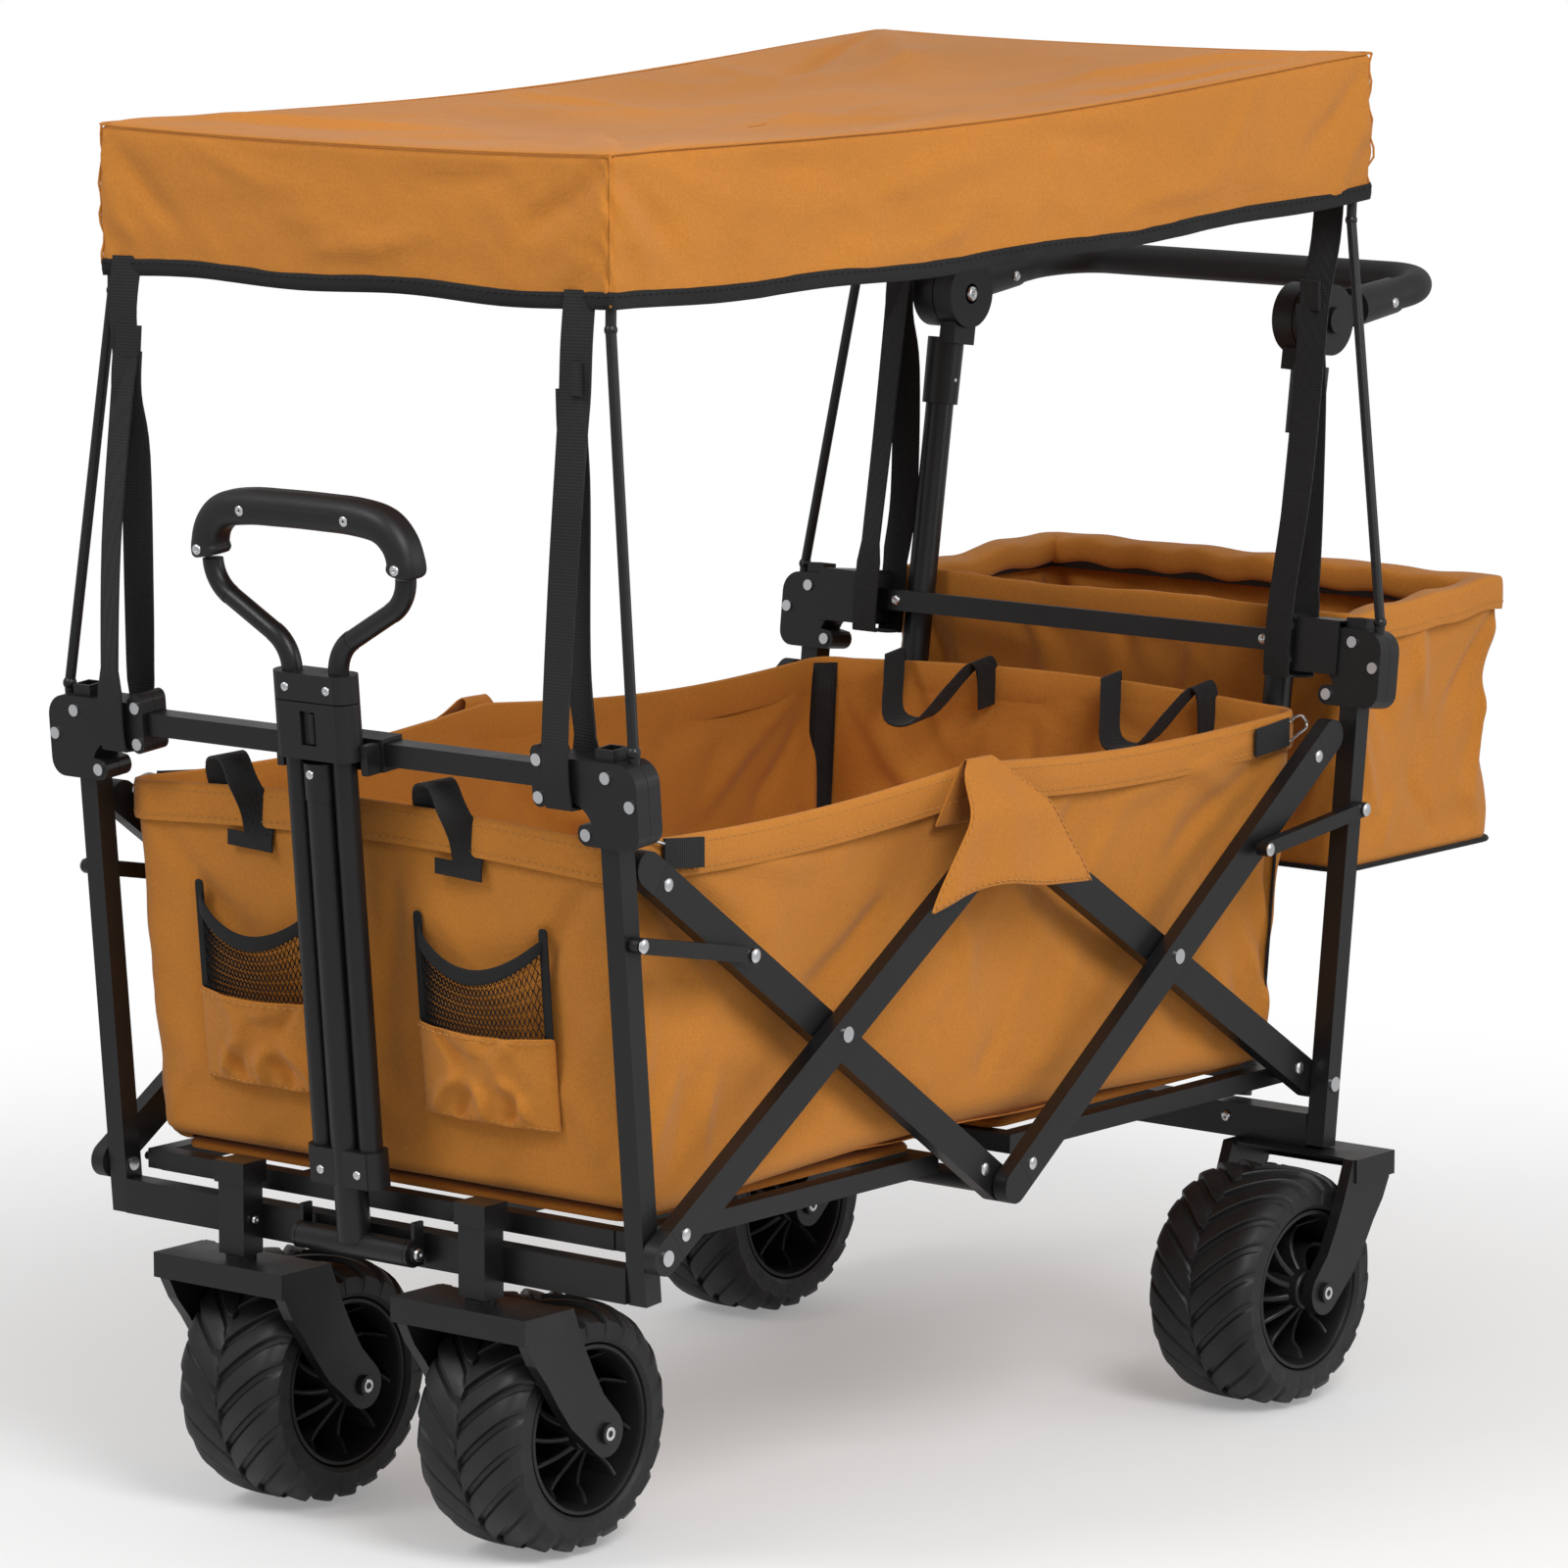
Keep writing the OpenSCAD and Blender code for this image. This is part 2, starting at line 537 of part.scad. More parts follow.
// bent tube: straight legs, then a flared loop up to the grip; bends a little fuller than the straights
loop_z = 408;
bend_more = 0.3;
bend_lap = 2;
module tube_arc(r, a0, a1, tube) {
  rotate([90, 0, 0]) rotate([0, 0, a0]) rotate_extrude(angle = a1 - a0, $fn = 64)
    translate([r, 0]) circle(r = tube, $fn = 24);
}
flare_angle = 60;
flare_r = 28.6;
flare_len = 44.9;
loop_r = 7;
flare_x = side_tube_x + 2 * flare_r * (1 - cos(flare_angle)) + flare_len * sin(flare_angle);
flare_top = loop_z + 2 * flare_r * sin(flare_angle) + flare_len * cos(flare_angle);
module handle_tubes() color(black) handle_frame() translate([0, -2, 0]) both() {
  translate([side_tube_x, 0, clamp_z + 4.2])
    cylinder(h = loop_z - clamp_z - 4.2, r = side_tube_r, $fn = round_fn);
  translate([side_tube_x + flare_r, 0, loop_z]) tube_arc(flare_r, 180 - flare_angle, 180, loop_r + bend_more);
  translate([side_tube_x + flare_r * (1 - cos(flare_angle)), 0, loop_z + flare_r * sin(flare_angle)])
    rotate([0, flare_angle, 0]) translate([0, 0, -bend_lap])
      cylinder(h = flare_len + 2 * bend_lap, r = loop_r, $fn = round_fn);
  translate([flare_x - flare_r, 0, flare_top]) tube_arc(flare_r, -flare_angle, 0, loop_r + bend_more);
}
module latch_housing() color(plastic) handle_frame() difference() {
  union() {
    box(-26, 26, -13.5, 9.5, housing_z, loop_z);
    for (s = [-1, 1]) translate([s * 24, -2, housing_z])
      cylinder(h = loop_z - housing_z, r = 11.5, $fn = round_fn);
  }
  for (s = [-1, 1]) translate([s * side_tube_x, -2, housing_z - 1])
    cylinder(h = 90, r = side_tube_r, $fn = round_fn);
  box(-6.8, 6.8, -20, -6, housing_z + 10, housing_z + 34);
  box(-40, 40, -20, 20, housing_z + 40, housing_z + 40.8);
}
module latch_button() color(plastic) handle_frame() {
  box(-6.3, 6.3, -10.6, -8, housing_z + 10.5, housing_z + 33.5);
  translate([2.4, -10.9, housing_z + 11.5]) cylinder(h = 21, r = 2.5, $fn = round_fn);
}
grip_r = 14.5;
grip_top = 518.5;
corner_r = 30;
module handle_grip() color(plastic) handle_frame() translate([0, -2, 0]) {
  both() {
    translate([flare_x, 0, flare_top + 0.2])
      cylinder(h = grip_top - corner_r - flare_top - 0.2 + bend_lap, r = grip_r, $fn = round_fn);
    translate([flare_x - corner_r, 0, grip_top - corner_r]) tube_arc(corner_r, 0, 90, grip_r + bend_more);
  }
  translate([-flare_x + corner_r - bend_lap, 0, grip_top]) rotate([0, 90, 0])
    cylinder(h = 2 * (flare_x - corner_r + bend_lap), r = grip_r, $fn = round_fn);
}

// ---------- push handle ----------
arm_rise = 6;
arm_len = 92;
module push_handle_frame() { translate([0, hub_y, hub_z]) children(); }
module push_arms() color(plastic) push_handle_frame() both() translate([push_x, 0, 0]) difference() {
  union() {
    axis_x(-2, 0, 0, 19, hub_r);
    rotate([arm_rise, 0, 0]) {
      box(-1.4, 16.4, 0, 43, -8.4, 12.4);
      translate([7, 40, 2]) rotate([-90, 0, 0]) cylinder(h = arm_len - 40, r1 = 15, r2 = 14, $fn = round_fn);
    }
  }
  axis_x(-3, 0, 0, 30, 8 + run_fit);
  axis_x(13.8, 0, 0, 10, 10 + run_fit);
  rotate([arm_rise, 0, 0]) translate([7, arm_len - 22, 2]) rotate([-90, 0, 0])
    cylinder(h = 24, r = 12.5, $fn = round_fn);
}
module push_bar() color(black) push_handle_frame() rotate([arm_rise, 0, 0]) translate([0, 0, 2]) {
  bend = 46;
  reach = 158;
  both() {
    translate([push_x + 7, arm_len - 21.8, 0]) rotate([-90, 0, 0])
      cylinder(h = reach - bend - arm_len + 21.8, r = 12.4, $fn = round_fn);
    translate([push_x + 7 - bend, reach - bend, 0]) rotate_extrude(angle = 90, $fn = 64)
      translate([bend, 0]) circle(r = 12.4, $fn = 24);
    translate([0, reach, 0]) rotate([0, 90, 0]) cylinder(h = push_x + 7 - bend, r = 12.4, $fn = round_fn);
  }
}
module hub_button() {
  axis_x(-1, 0, 0, 22, 8);
  axis_x(17.6, 0, 0, 4.4, 10);
}
module hub_button_right() color(plastic) push_handle_frame() translate([push_x, 0, 0]) hub_button();
module hub_button_left() color(plastic) push_handle_frame()
  mirror([1, 0, 0]) translate([push_x, 0, 0]) hub_button();

// ---------- forks and wheels ----------
// curved arm in (y, z), from the top plate down to the axle
arm_tip_r = 17;
module arm_outline() {
  polygon(concat(
    [[-22, fork_top_z], [-20, fork_top_z - 20], [-12, fork_top_z - 35], [0, fork_top_z - 50],
     [12, wheel_r + 27], [25, wheel_r + 10]],
    arc(trail, wheel_r, arm_tip_r, 228, 400, 12),
    [[trail - 3, wheel_r + 28], [trail - 14, wheel_r + 47], [trail - 22, fork_top_z - 32],
     [trail - 29, fork_top_z - 15], [trail - 35, fork_top_z]]
  ));
}
module fork_body() {
  difference() {
    box(-fork_w / 2, fork_w / 2, -fork_depth / 2, fork_depth / 2, fork_top_z - fork_flange, fork_top_z);
    box(-arm_gap, arm_gap, -fork_depth / 2 + fork_plate, fork_depth, 100, fork_top_z - fork_plate);
  }
  difference() {
    for (s = [-1, 1]) translate([s * (arm_gap + arm_t / 2) - arm_t / 2, 0, 0])
      rotate([90, 0, 90]) linear_extrude(height = arm_t) arm_outline();
    axis_x(-80, trail, wheel_r, 160, axle_r + run_fit);
  }
}
module axle(x, y) {
  axis_x(x - arm_gap - arm_t - 1, y, wheel_r, 2 * (arm_gap + arm_t) + 2, axle_r);
  for (s = [-1, 1]) axis_x(x + s * (arm_gap + arm_t + 1.8) - 1.6, y, wheel_r, 3.2, 7.5);
}
module caster_fork(x) color(black) {
  translate([x, front_fork_y, 0]) {
    fork_body();
    translate([0, 0, fork_top_z]) cylinder(h = 3.4, r = 11, $fn = round_fn);
    translate([0, 0, fork_top_z]) cylinder(h = 42, r = 6, $fn = round_fn);
  }
  color(zinc) axle(x, front_fork_y + trail);
}
module tyre(x, y) color(rubber) translate([x, y, wheel_r]) rotate([0, 90, 0]) rotate_extrude($fn = 72)
  polygon(concat(
    [[62, -tyre_w / 2], [70, -tyre_w / 2 - 0]],
    [for (i = [0 : 10]) let (t = -1 + i / 5) [wheel_r - 13 * pow(abs(t), 3), t * (tyre_w / 2 - 2)]],
    [[70, tyre_w / 2], [62, tyre_w / 2]],
    [[60, tyre_w / 2 - 6], [60, -tyre_w / 2 + 6]]
  ));
spokes = 10;
module wheel_hub(x, y) color(plastic) translate([x, y, wheel_r]) rotate([0, 90, 0]) {
  difference() {
    translate([0, 0, -tyre_w / 2 + 6.5]) cylinder(h = tyre_w - 13, r = 59.8, $fn = 72);
    translate([0, 0, -tyre_w / 2 - 1]) cylinder(h = tyre_w + 2, r = 55, $fn = 72);
  }
  difference() {
    union() {
      translate([0, 0, -tyre_w / 2 + 2]) cylinder(h = tyre_w - 4, r = 15, $fn = round_fn);
      for (i = [0 : spokes - 1]) rotate([0, 0, 360 / spokes * i])
        translate([13, -1.5, -26]) cube([43, 3, 52]);
      translate([0, 0, -1.5]) cylinder(h = 3, r = 56, $fn = 72);
    }
    translate([0, 0, -tyre_w]) cylinder(h = 2 * tyre_w, r = axle_r + run_fit, $fn = round_fn);
  }
}
front_axle_y = front_fork_y + trail;
rear_axle_y = rear_fork_y - trail;

placed() front_posts();
placed() front_axle_beam();
placed() front_crossbar();
placed() front_brackets();
placed() front_rivets();
placed() caster_housings();
placed() handle_mount();
placed() handle_clip();
placed() front_canopy_rods();
placed() tub();
placed() front_pockets();
placed() canopy();
placed() front_straps();
placed() rising_bars();
placed() rising_bar_caps();
placed() rising_rivets();
placed() falling_bars();
placed() falling_bar_caps();
placed() falling_rivets();
placed() front_cross_bars();
placed() front_cross_caps();
placed() rear_cross_bars();
placed() rear_cross_caps();
placed() front_links();
placed() rear_links();
placed() front_floor_frame();
placed() rear_floor_frame();
placed() rear_posts();
placed() rear_axle_beam();
placed() rear_crossbar();
placed() rear_brackets();
placed() rear_bracket_plates();
placed() rear_rivets();
placed() rear_forks();
placed() rear_canopy_rods();
placed() push_tubes();
placed() hub_bases();
placed() basket_rails();
placed() rear_basket();
placed() rear_straps();
placed() handle_stem();
placed() handle_tubes();
placed() handle_clamp();
placed() latch_housing();
placed() latch_button();
placed() handle_grip();
placed() push_bar();
placed() push_arms();
placed() hub_button_left();
placed() hub_button_right();
placed() caster_fork(-caster_x);  // caster_fork_left
placed() caster_fork(caster_x);  // caster_fork_right
placed() tyre(-caster_x, front_axle_y);  // tyre_front_left
placed() tyre(caster_x, front_axle_y);  // tyre_front_right
placed() tyre(-rear_wheel_x, rear_axle_y);  // tyre_rear_left
placed() tyre(rear_wheel_x, rear_axle_y);  // tyre_rear_right
placed() wheel_hub(-caster_x, front_axle_y);  // hub_front_left
placed() wheel_hub(caster_x, front_axle_y);  // hub_front_right
placed() wheel_hub(-rear_wheel_x, rear_axle_y);  // hub_rear_left
placed() wheel_hub(rear_wheel_x, rear_axle_y);  // hub_rear_right
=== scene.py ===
"""Looks of the folding pull wagon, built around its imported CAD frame.

Positions are written in millimetres in the wagon's own frame: x across, y towards the rear, z up, with y = 0
midway between the front and rear lower pivots. V() turns them into the row frame.
"""

from math import cos, exp, hypot, pi, radians, sin

import bpy
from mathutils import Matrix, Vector, noise


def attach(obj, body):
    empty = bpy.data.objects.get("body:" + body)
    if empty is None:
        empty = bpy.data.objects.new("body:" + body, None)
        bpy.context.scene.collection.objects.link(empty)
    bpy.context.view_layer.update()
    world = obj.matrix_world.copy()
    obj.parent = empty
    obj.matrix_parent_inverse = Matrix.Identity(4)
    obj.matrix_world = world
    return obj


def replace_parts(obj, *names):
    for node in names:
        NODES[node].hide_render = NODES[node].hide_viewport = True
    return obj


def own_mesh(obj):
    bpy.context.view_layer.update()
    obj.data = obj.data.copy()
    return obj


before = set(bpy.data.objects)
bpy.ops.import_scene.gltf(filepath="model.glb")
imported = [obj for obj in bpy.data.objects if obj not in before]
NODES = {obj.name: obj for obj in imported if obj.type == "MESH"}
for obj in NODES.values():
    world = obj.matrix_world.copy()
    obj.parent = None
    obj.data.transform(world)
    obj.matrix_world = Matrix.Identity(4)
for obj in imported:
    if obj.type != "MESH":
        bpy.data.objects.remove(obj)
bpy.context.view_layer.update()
SHIFT = 106.4


def V(x, y, z):
    return Vector((x / 1000, (y - SHIFT) / 1000, z / 1000))


def leaning(y0, z0, lean):
    """Place points given in a frame that leans by an angle about the line y = y0, z = z0."""
    c, s = cos(lean), sin(lean)
    return lambda x, y, z: (x, y0 + y * c - z * s, z0 + y * s + z * c)


FRONT_LEAN, REAR_LEAN = radians(4.9), radians(6.7)
H = leaning(-410.5, 211, FRONT_LEAN)  # pull handle, from its pivot
F = leaning(-390, 234, FRONT_LEAN)  # front posts
R = leaning(390, 234, -REAR_LEAN)  # rear posts


# ---- camera, lights, floor
def camera():
    data = bpy.data.cameras.new("camera")
    data.lens, data.sensor_width, data.clip_end = 173.7, 36, 50
    o = bpy.data.objects.new("camera", data)
    bpy.context.scene.collection.objects.link(o)
    o.location = V(3470.2, -4225.7, 1348.7)
    o.rotation_euler = (V(-4, 66.7, 475.8) - o.location).to_track_quat("-Z", "Y").to_euler()
    bpy.context.scene.camera = o


def area(name, at, look, size, power):
    data = bpy.data.lights.new(name, "AREA")
    data.shape, data.size, data.energy = "DISK", size, power
    o = bpy.data.objects.new(name, data)
    bpy.context.scene.collection.objects.link(o)
    o.location = at
    o.rotation_euler = (Vector(look) - Vector(at)).to_track_quat("-Z", "Y").to_euler()


def seen_white(tree, shader, dim):
    """Strength: full for the camera, dim for the light on the object."""
    path = tree.nodes.new("ShaderNodeLightPath")
    m = tree.nodes.new("ShaderNodeMapRange")
    m.inputs["To Min"].default_value, m.inputs["To Max"].default_value = dim, 1.0
    tree.links.new(path.outputs["Is Camera Ray"], m.inputs["Value"])
    tree.links.new(m.outputs["Result"], shader.inputs["Strength"])


def studio():
    camera()
    world = bpy.context.scene.world or bpy.data.worlds.new("world")
    bpy.context.scene.world = world
    world.use_nodes = True
    sky = world.node_tree.nodes["Background"]
    sky.inputs["Color"].default_value = (1, 1, 1, 1)
    seen_white(world.node_tree, sky, 0.52)
    area("key", (2.4, -1.2, 2.6), (0, 0, 0.5), 1.6, 62)
    area("front", (-0.7, -2.1, 2.3), (0, -0.4, 0.9), 1.0, 20)
    area("side", (3.2, 1.6, 1.3), (0, 0.1, 0.4), 1.6, 16)
    bpy.context.scene.view_settings.view_transform = "Standard"
    me = bpy.data.meshes.new("floor")
    s = 30
    me.from_pydata([(-s, -s, 0), (s, -s, 0), (s, s, 0), (-s, s, 0)], [], [(0, 1, 2, 3)])
    floor = bpy.data.objects.new("floor", me)
    bpy.context.scene.collection.objects.link(floor)
    floor.location.z = -0.0005
    pale = material("floor", (0.93, 0.93, 0.93), 0.8, bump=((40, 0.02),), tint=0.005)
    t = pale.node_tree
    glow = t.nodes.new("ShaderNodeEmission")
    seen_white(t, glow, 0.5)
    blend = t.nodes.new("ShaderNodeMixShader")
    far = t.nodes.new("ShaderNodeMapRange")
    far.inputs["From Min"].default_value, far.inputs["From Max"].default_value = 0.45, 1.7
    far.inputs["To Min"].default_value = 0.25
    far.interpolation_type = "SMOOTHSTEP"
    size = t.nodes.new("ShaderNodeVectorMath")
    size.operation = "LENGTH"
    t.links.new(t.nodes.new("ShaderNodeTexCoord").outputs["Object"], size.inputs[0])
    t.links.new(size.outputs["Value"], far.inputs["Value"])
    t.links.new(far.outputs["Result"], blend.inputs["Fac"])
    t.links.new(t.nodes["Principled BSDF"].outputs["BSDF"], blend.inputs[1])
    t.links.new(glow.outputs["Emission"], blend.inputs[2])
    t.links.new(blend.outputs["Shader"], t.nodes["Material Output"].inputs["Surface"])
    me.materials.append(pale)


# ---- materials
def material(name, colour, rough, metal=0.0, bump=(), tint=0.1, tint_scale=9, rough_tint=0.0, sheen=0.0,
             weave=None,
             coat=0.0, spec=0.5, rumple=()):
    """Principled material: patchy colour and roughness, stacked noise bumps (scale, depth in millimetres), a
    crossed weave (pitch in metres, depth) and sharp-edged rumples (scale, depth)."""
    m = bpy.data.materials.new(name)
    m.use_nodes = True
    t = m.node_tree
    n, link = t.nodes, t.links.new
    out = n["Principled BSDF"]
    out.inputs["Metallic"].default_value = metal
    out.inputs["Roughness"].default_value = rough
    out.inputs["Sheen Weight"].default_value = sheen
    out.inputs["Sheen Roughness"].default_value = 0.5
    out.inputs["Coat Weight"].default_value = coat
    out.inputs["Specular IOR Level"].default_value = spec
    at = n.new("ShaderNodeTexCoord").outputs["Object"]

    def noisy(scale, detail=4):
        tex = n.new("ShaderNodeTexNoise")
        tex.inputs["Scale"].default_value = scale
        tex.inputs["Detail"].default_value = detail
        link(at, tex.inputs["Vector"])
        return tex.outputs["Fac"]

    def spread(value, low, high):
        r = n.new("ShaderNodeMapRange")
        r.inputs["From Min"].default_value, r.inputs["From Max"].default_value = 0.3, 0.7
        r.inputs["To Min"].default_value, r.inputs["To Max"].default_value = low, high
        link(value, r.inputs["Value"])
        return r.outputs["Result"]

    base = n.new("ShaderNodeMix")
    base.data_type = "RGBA"
    base.inputs["A"].default_value = (*[c * (1 - tint) for c in colour], 1)
    base.inputs["B"].default_value = (*[min(1, c * (1 + tint)) for c in colour], 1)
    link(spread(noisy(tint_scale), 0, 1), base.inputs["Factor"])
    colour_out = base.outputs["Result"]
    heights = []
    if weave:
        pitch, depth = weave
        for axis in ("X", "Y", "Z"):
            w = n.new("ShaderNodeTexWave")
            w.bands_direction = axis
            w.inputs["Scale"].default_value = 0.314 / pitch
            w.inputs["Distortion"].default_value = 0.6
            w.inputs["Detail Scale"].default_value = 2
            link(at, w.inputs["Vector"])
            heights.append((w.outputs["Fac"], depth))
        thread = n.new("ShaderNodeMix")
        thread.data_type = "RGBA"
        thread.blend_type = "MULTIPLY"
        thread.inputs["Factor"].default_value = 0.35
        link(colour_out, thread.inputs["A"])
        link(spread(noisy(0.5 / pitch, 2), 0.75, 1.12), thread.inputs["B"])
        colour_out = thread.outputs["Result"]
    link(colour_out, out.inputs["Base Color"])
    if rough_tint:
        link(spread(noisy(tint_scale * 2.3), rough - rough_tint, rough + rough_tint), out.inputs["Roughness"])
    heights += [(noisy(s), d) for s, d in bump]
    for scale, depth in rumple:
        tex = n.new("ShaderNodeTexNoise")
        tex.noise_type = "RIDGED_MULTIFRACTAL"
        tex.inputs["Scale"].default_value = scale
        tex.inputs["Detail"].default_value = 2
        tex.inputs["Distortion"].default_value = 0.8
        link(at, tex.inputs["Vector"])
        heights.append((tex.outputs["Fac"], depth))
    last = None
    for value, depth in heights:
        b = n.new("ShaderNodeBump")
        b.inputs["Strength"].default_value = 0.5
        b.inputs["Distance"].default_value = depth / 1000
        link(value, b.inputs["Height"])
        if last:
            link(last, b.inputs["Normal"])
        last = b.outputs["Normal"]
    if last:
        link(last, out.inputs["Normal"])
    return m


CLOTH = material("orange_cloth", (0.53, 0.195, 0.024), 0.8, tint=0.07, tint_scale=6, sheen=0.1,
                 weave=(0.0011, 0.12),
                 bump=((14, 2.2), (55, 0.5)), spec=0.25, rumple=((3.4, 10), (8.5, 3.2)))
# darker copy of the orange cloth for the inside floor: its darker colour is painted shade
CLOTH_IN_SHADED = material("orange_cloth_inside_painted_shade", (0.44, 0.15, 0.018), 0.86, tint=0.08, tint_scale=6, sheen=0.1,
                    weave=(0.0011, 0.12), bump=((22, 1.2),), spec=0.2, rumple=((4, 6.0),))
THREAD = material("thread", (0.56, 0.25, 0.05), 0.7, tint=0.1, bump=((900, 0.1),))
BINDING = material("binding", (0.009, 0.009, 0.0095), 0.8, tint=0.25, sheen=0.05, weave=(0.0009, 0.1),
                   bump=((40, 0.6),), spec=0.3)
WEBBING = material("webbing", (0.01, 0.01, 0.0105), 0.72, tint=0.25, sheen=0.08, weave=(0.0022, 0.35),
                   bump=((30, 0.5),), spec=0.3)
NET = material("net", (0.006, 0.006, 0.0065), 0.7, tint=0.2, bump=((400, 0.1),), spec=0.3)
STEEL = material("black_frame", (0.008, 0.008, 0.0088), 0.36, tint=0.15, rough_tint=0.06,
                 bump=((1400, 0.04), (220, 0.05)), spec=0.42)
PLASTIC = material("black_plastic", (0.0085, 0.0085, 0.0095), 0.46, tint=0.12, rough_tint=0.05,
                   bump=((2600, 0.06), (300, 0.05)), spec=0.42)
FOAM = material("grip_foam", (0.011, 0.011, 0.012), 0.55, tint=0.15, bump=((1800, 0.12),), rough_tint=0.05,
                spec=0.42)
RUBBER = material("tyre", (0.009, 0.009, 0.0095), 0.5, tint=0.22, tint_scale=20, rough_tint=0.08,
                  bump=((700, 0.1), (90, 0.2)), spec=0.42)
ZINC = material("zinc", (0.72, 0.73, 0.75), 0.3, metal=1, tint=0.08, rough_tint=0.08, bump=((900, 0.03),))

NODE_LOOK = {
    "rivets": ZINC, "caps": PLASTIC, "brackets": PLASTIC, "clip": PLASTIC, "clamp": PLASTIC, "latch": PLASTIC,
    "hub_bases": PLASTIC, "push_arms": PLASTIC, "hub_button": PLASTIC, "straps": WEBBING, "push_bar": FOAM,
}


def dress_frame():
    """Every CAD node that stays visible gets its finish."""
    for name, o in NODES.items():
        look = next((m for k, m in NODE_LOOK.items() if k in name), STEEL)
        o.data.materials.clear()
        o.data.materials.append(look)
        if look in (STEEL, PLASTIC):
            m = o.modifiers.new("soft_edges", "BEVEL")
            m.width, m.segments, m.limit_method, m.angle_limit = 0.0009, 2, "ANGLE", radians(48)


# ---- mesh helpers
def piece(name, verts, faces, look, body, smooth=True, solid=0.0, sub=0, auto=None):
    """A mesh on a body: solid is a wall thickness in millimetres, auto the angle that stays sharp."""
    me = bpy.data.meshes.new(name)
    me.from_pydata([V(*v) for v in verts], [], faces)
    me.materials.append(look)
    for p in me.polygons:
        p.use_smooth = smooth
    if auto:
        me.set_sharp_from_angle(angle=radians(auto))
    o = bpy.data.objects.new(name, me)
    bpy.context.scene.collection.objects.link(o)
    if solid:
        m = o.modifiers.new("solid", "SOLIDIFY")
        m.thickness, m.offset = solid / 1000, -1
    if sub:
        m = o.modifiers.new("sub", "SUBSURF")
        m.levels = m.render_levels = sub
    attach(o, body)
    return o


def grid(rows, close_u=False, close_v=False, flip=False):
    """Vertices and faces of a net of rows of points."""
    nu, nv = len(rows[0]), len(rows)
    faces = []
    for j in range(nv if close_v else nv - 1):
        for i in range(nu if close_u else nu - 1):
            a, b = j * nu + i, j * nu + (i + 1) % nu
            c, d = ((j + 1) % nv) * nu + (i + 1) % nu, ((j + 1) % nv) * nu + i
            faces.append((a, d, c, b) if flip else (a, b, c, d))
    return [p for r in rows for p in r], faces


def join(parts):
    """One (verts, faces) from several."""
    verts, faces = [], []
    for v, f in parts:
        k = len(verts)
        verts += list(v)
        faces += [tuple(i + k for i in q) for q in f]
    return verts, faces


def smoothstep(a, b, x):
    t = min(1.0, max(0.0, (x - a) / (b - a)))
    return t * t * (3 - 2 * t)


def mix(a, b, t):
    return a + (b - a) * t


def bez(p, n):
    """Smooth open curve through the points p, n samples a span."""
    pts = [Vector(q) for q in p]
    out = []
    for i in range(len(pts) - 1):
        a, b = pts[max(i - 1, 0)], pts[i]
        c, d = pts[i + 1], pts[min(i + 2, len(pts) - 1)]
        for k in range(n):
            t = k / n
            out.append(0.5 * ((2 * b) + (c - a) * t + (2 * a - 5 * b + 4 * c - d) * t * t
                              + (3 * b - a - 3 * c + d) * t ** 3))
    out.append(pts[-1])
    return out


def tube(path, r, sides=12, close=False, flat=1.0):
    """Tube of radius r along a path, closed into a ring or capped at both ends."""
    n = len(path)
    rows = []
    side = None
    for i, p in enumerate(path):
        p = Vector(p)
        nxt = Vector(path[(i + 1) % n] if close else path[min(i + 1, n - 1)])
        prv = Vector(path[i - 1] if close else path[max(i - 1, 0)])
        d = (nxt - prv).normalized()
        if side is None:
            side = d.cross(Vector((0, 0, 1)) if abs(d.z) < 0.9 else Vector((0, 1, 0))).normalized()
        side = (side - d * side.dot(d)).normalized()
        other = d.cross(side)
        rows.append([tuple(p + r * (cos(a) * side + flat * sin(a) * other))
                     for a in (2 * pi * k / sides for k in range(sides))])
    verts, faces = grid(rows, close_u=True, close_v=close)
    if not close:
        faces += [tuple(range(sides))[::-1], tuple(range((n - 1) * sides, n * sides))]
    return verts, faces


def ribbon(path, across, width, thick):
    """Flat webbing along a path; across is the direction of its width, or one a point."""
    rows = []
    n = len(path)
    for i, p in enumerate(path):
        p = Vector(p)
        w = Vector(across[i] if isinstance(across, list) else across).normalized()
        d = (Vector(path[min(i + 1, n - 1)]) - Vector(path[max(i - 1, 0)])).normalized()
        t = d.cross(w).normalized() * thick / 2
        h = w * width / 2
        rows.append([tuple(q) for q in (p - h - t, p - h * 0.4 - t, p + h * 0.4 - t, p + h - t,
                                         p + h + t, p + h * 0.4 + t, p - h * 0.4 + t, p - h + t)])
    verts, faces = grid(rows, close_u=True)
    return verts, faces + [tuple(range(8))[::-1], tuple(range((n - 1) * 8, n * 8))]


def lathe(profile, at, n):
    """Profile of (radius, along) turned about the line through at along x."""
    turns = [2 * pi * k / n for k in range(n)]
    rows = [[(at[0] + s, at[1] + r * cos(a), at[2] + r * sin(a)) for a in turns] for r, s in profile]
    return grid(rows, close_u=True)


def screw_head(at, normal, r=3.6, rise=1.4):
    """Domed cross-head screw."""
    n = Vector(normal).normalized()
    u = n.orthogonal().normalized()
    v = n.cross(u)
    rows = []
    for rr, h in ((1.0, -0.6), (1.0, 0.35), (0.86, 0.8), (0.55, 1.0), (0.42, 1.0), (0.3, 0.25), (0.02, 0.1)):
        row = []
        for k in range(16):
            a = 2 * pi * k / 16
            star = rr * (1 - (0.45 if rr < 0.5 and k % 4 == 2 else 0))
            row.append(tuple(Vector(at) + r * star * (cos(a) * u + sin(a) * v) + n * rise * h))
        rows.append(row)
    return grid(rows, close_u=True)


def rivet_head(at, sx, r):
    """Flat domed rivet head facing out along x."""
    profile = ((r, -0.4), (r, 0.5), (r * 0.82, 1.1), (r * 0.45, 1.4), (0.05, 1.5))
    return lathe([(radius, sx * rise) for radius, rise in profile], at, n=24)


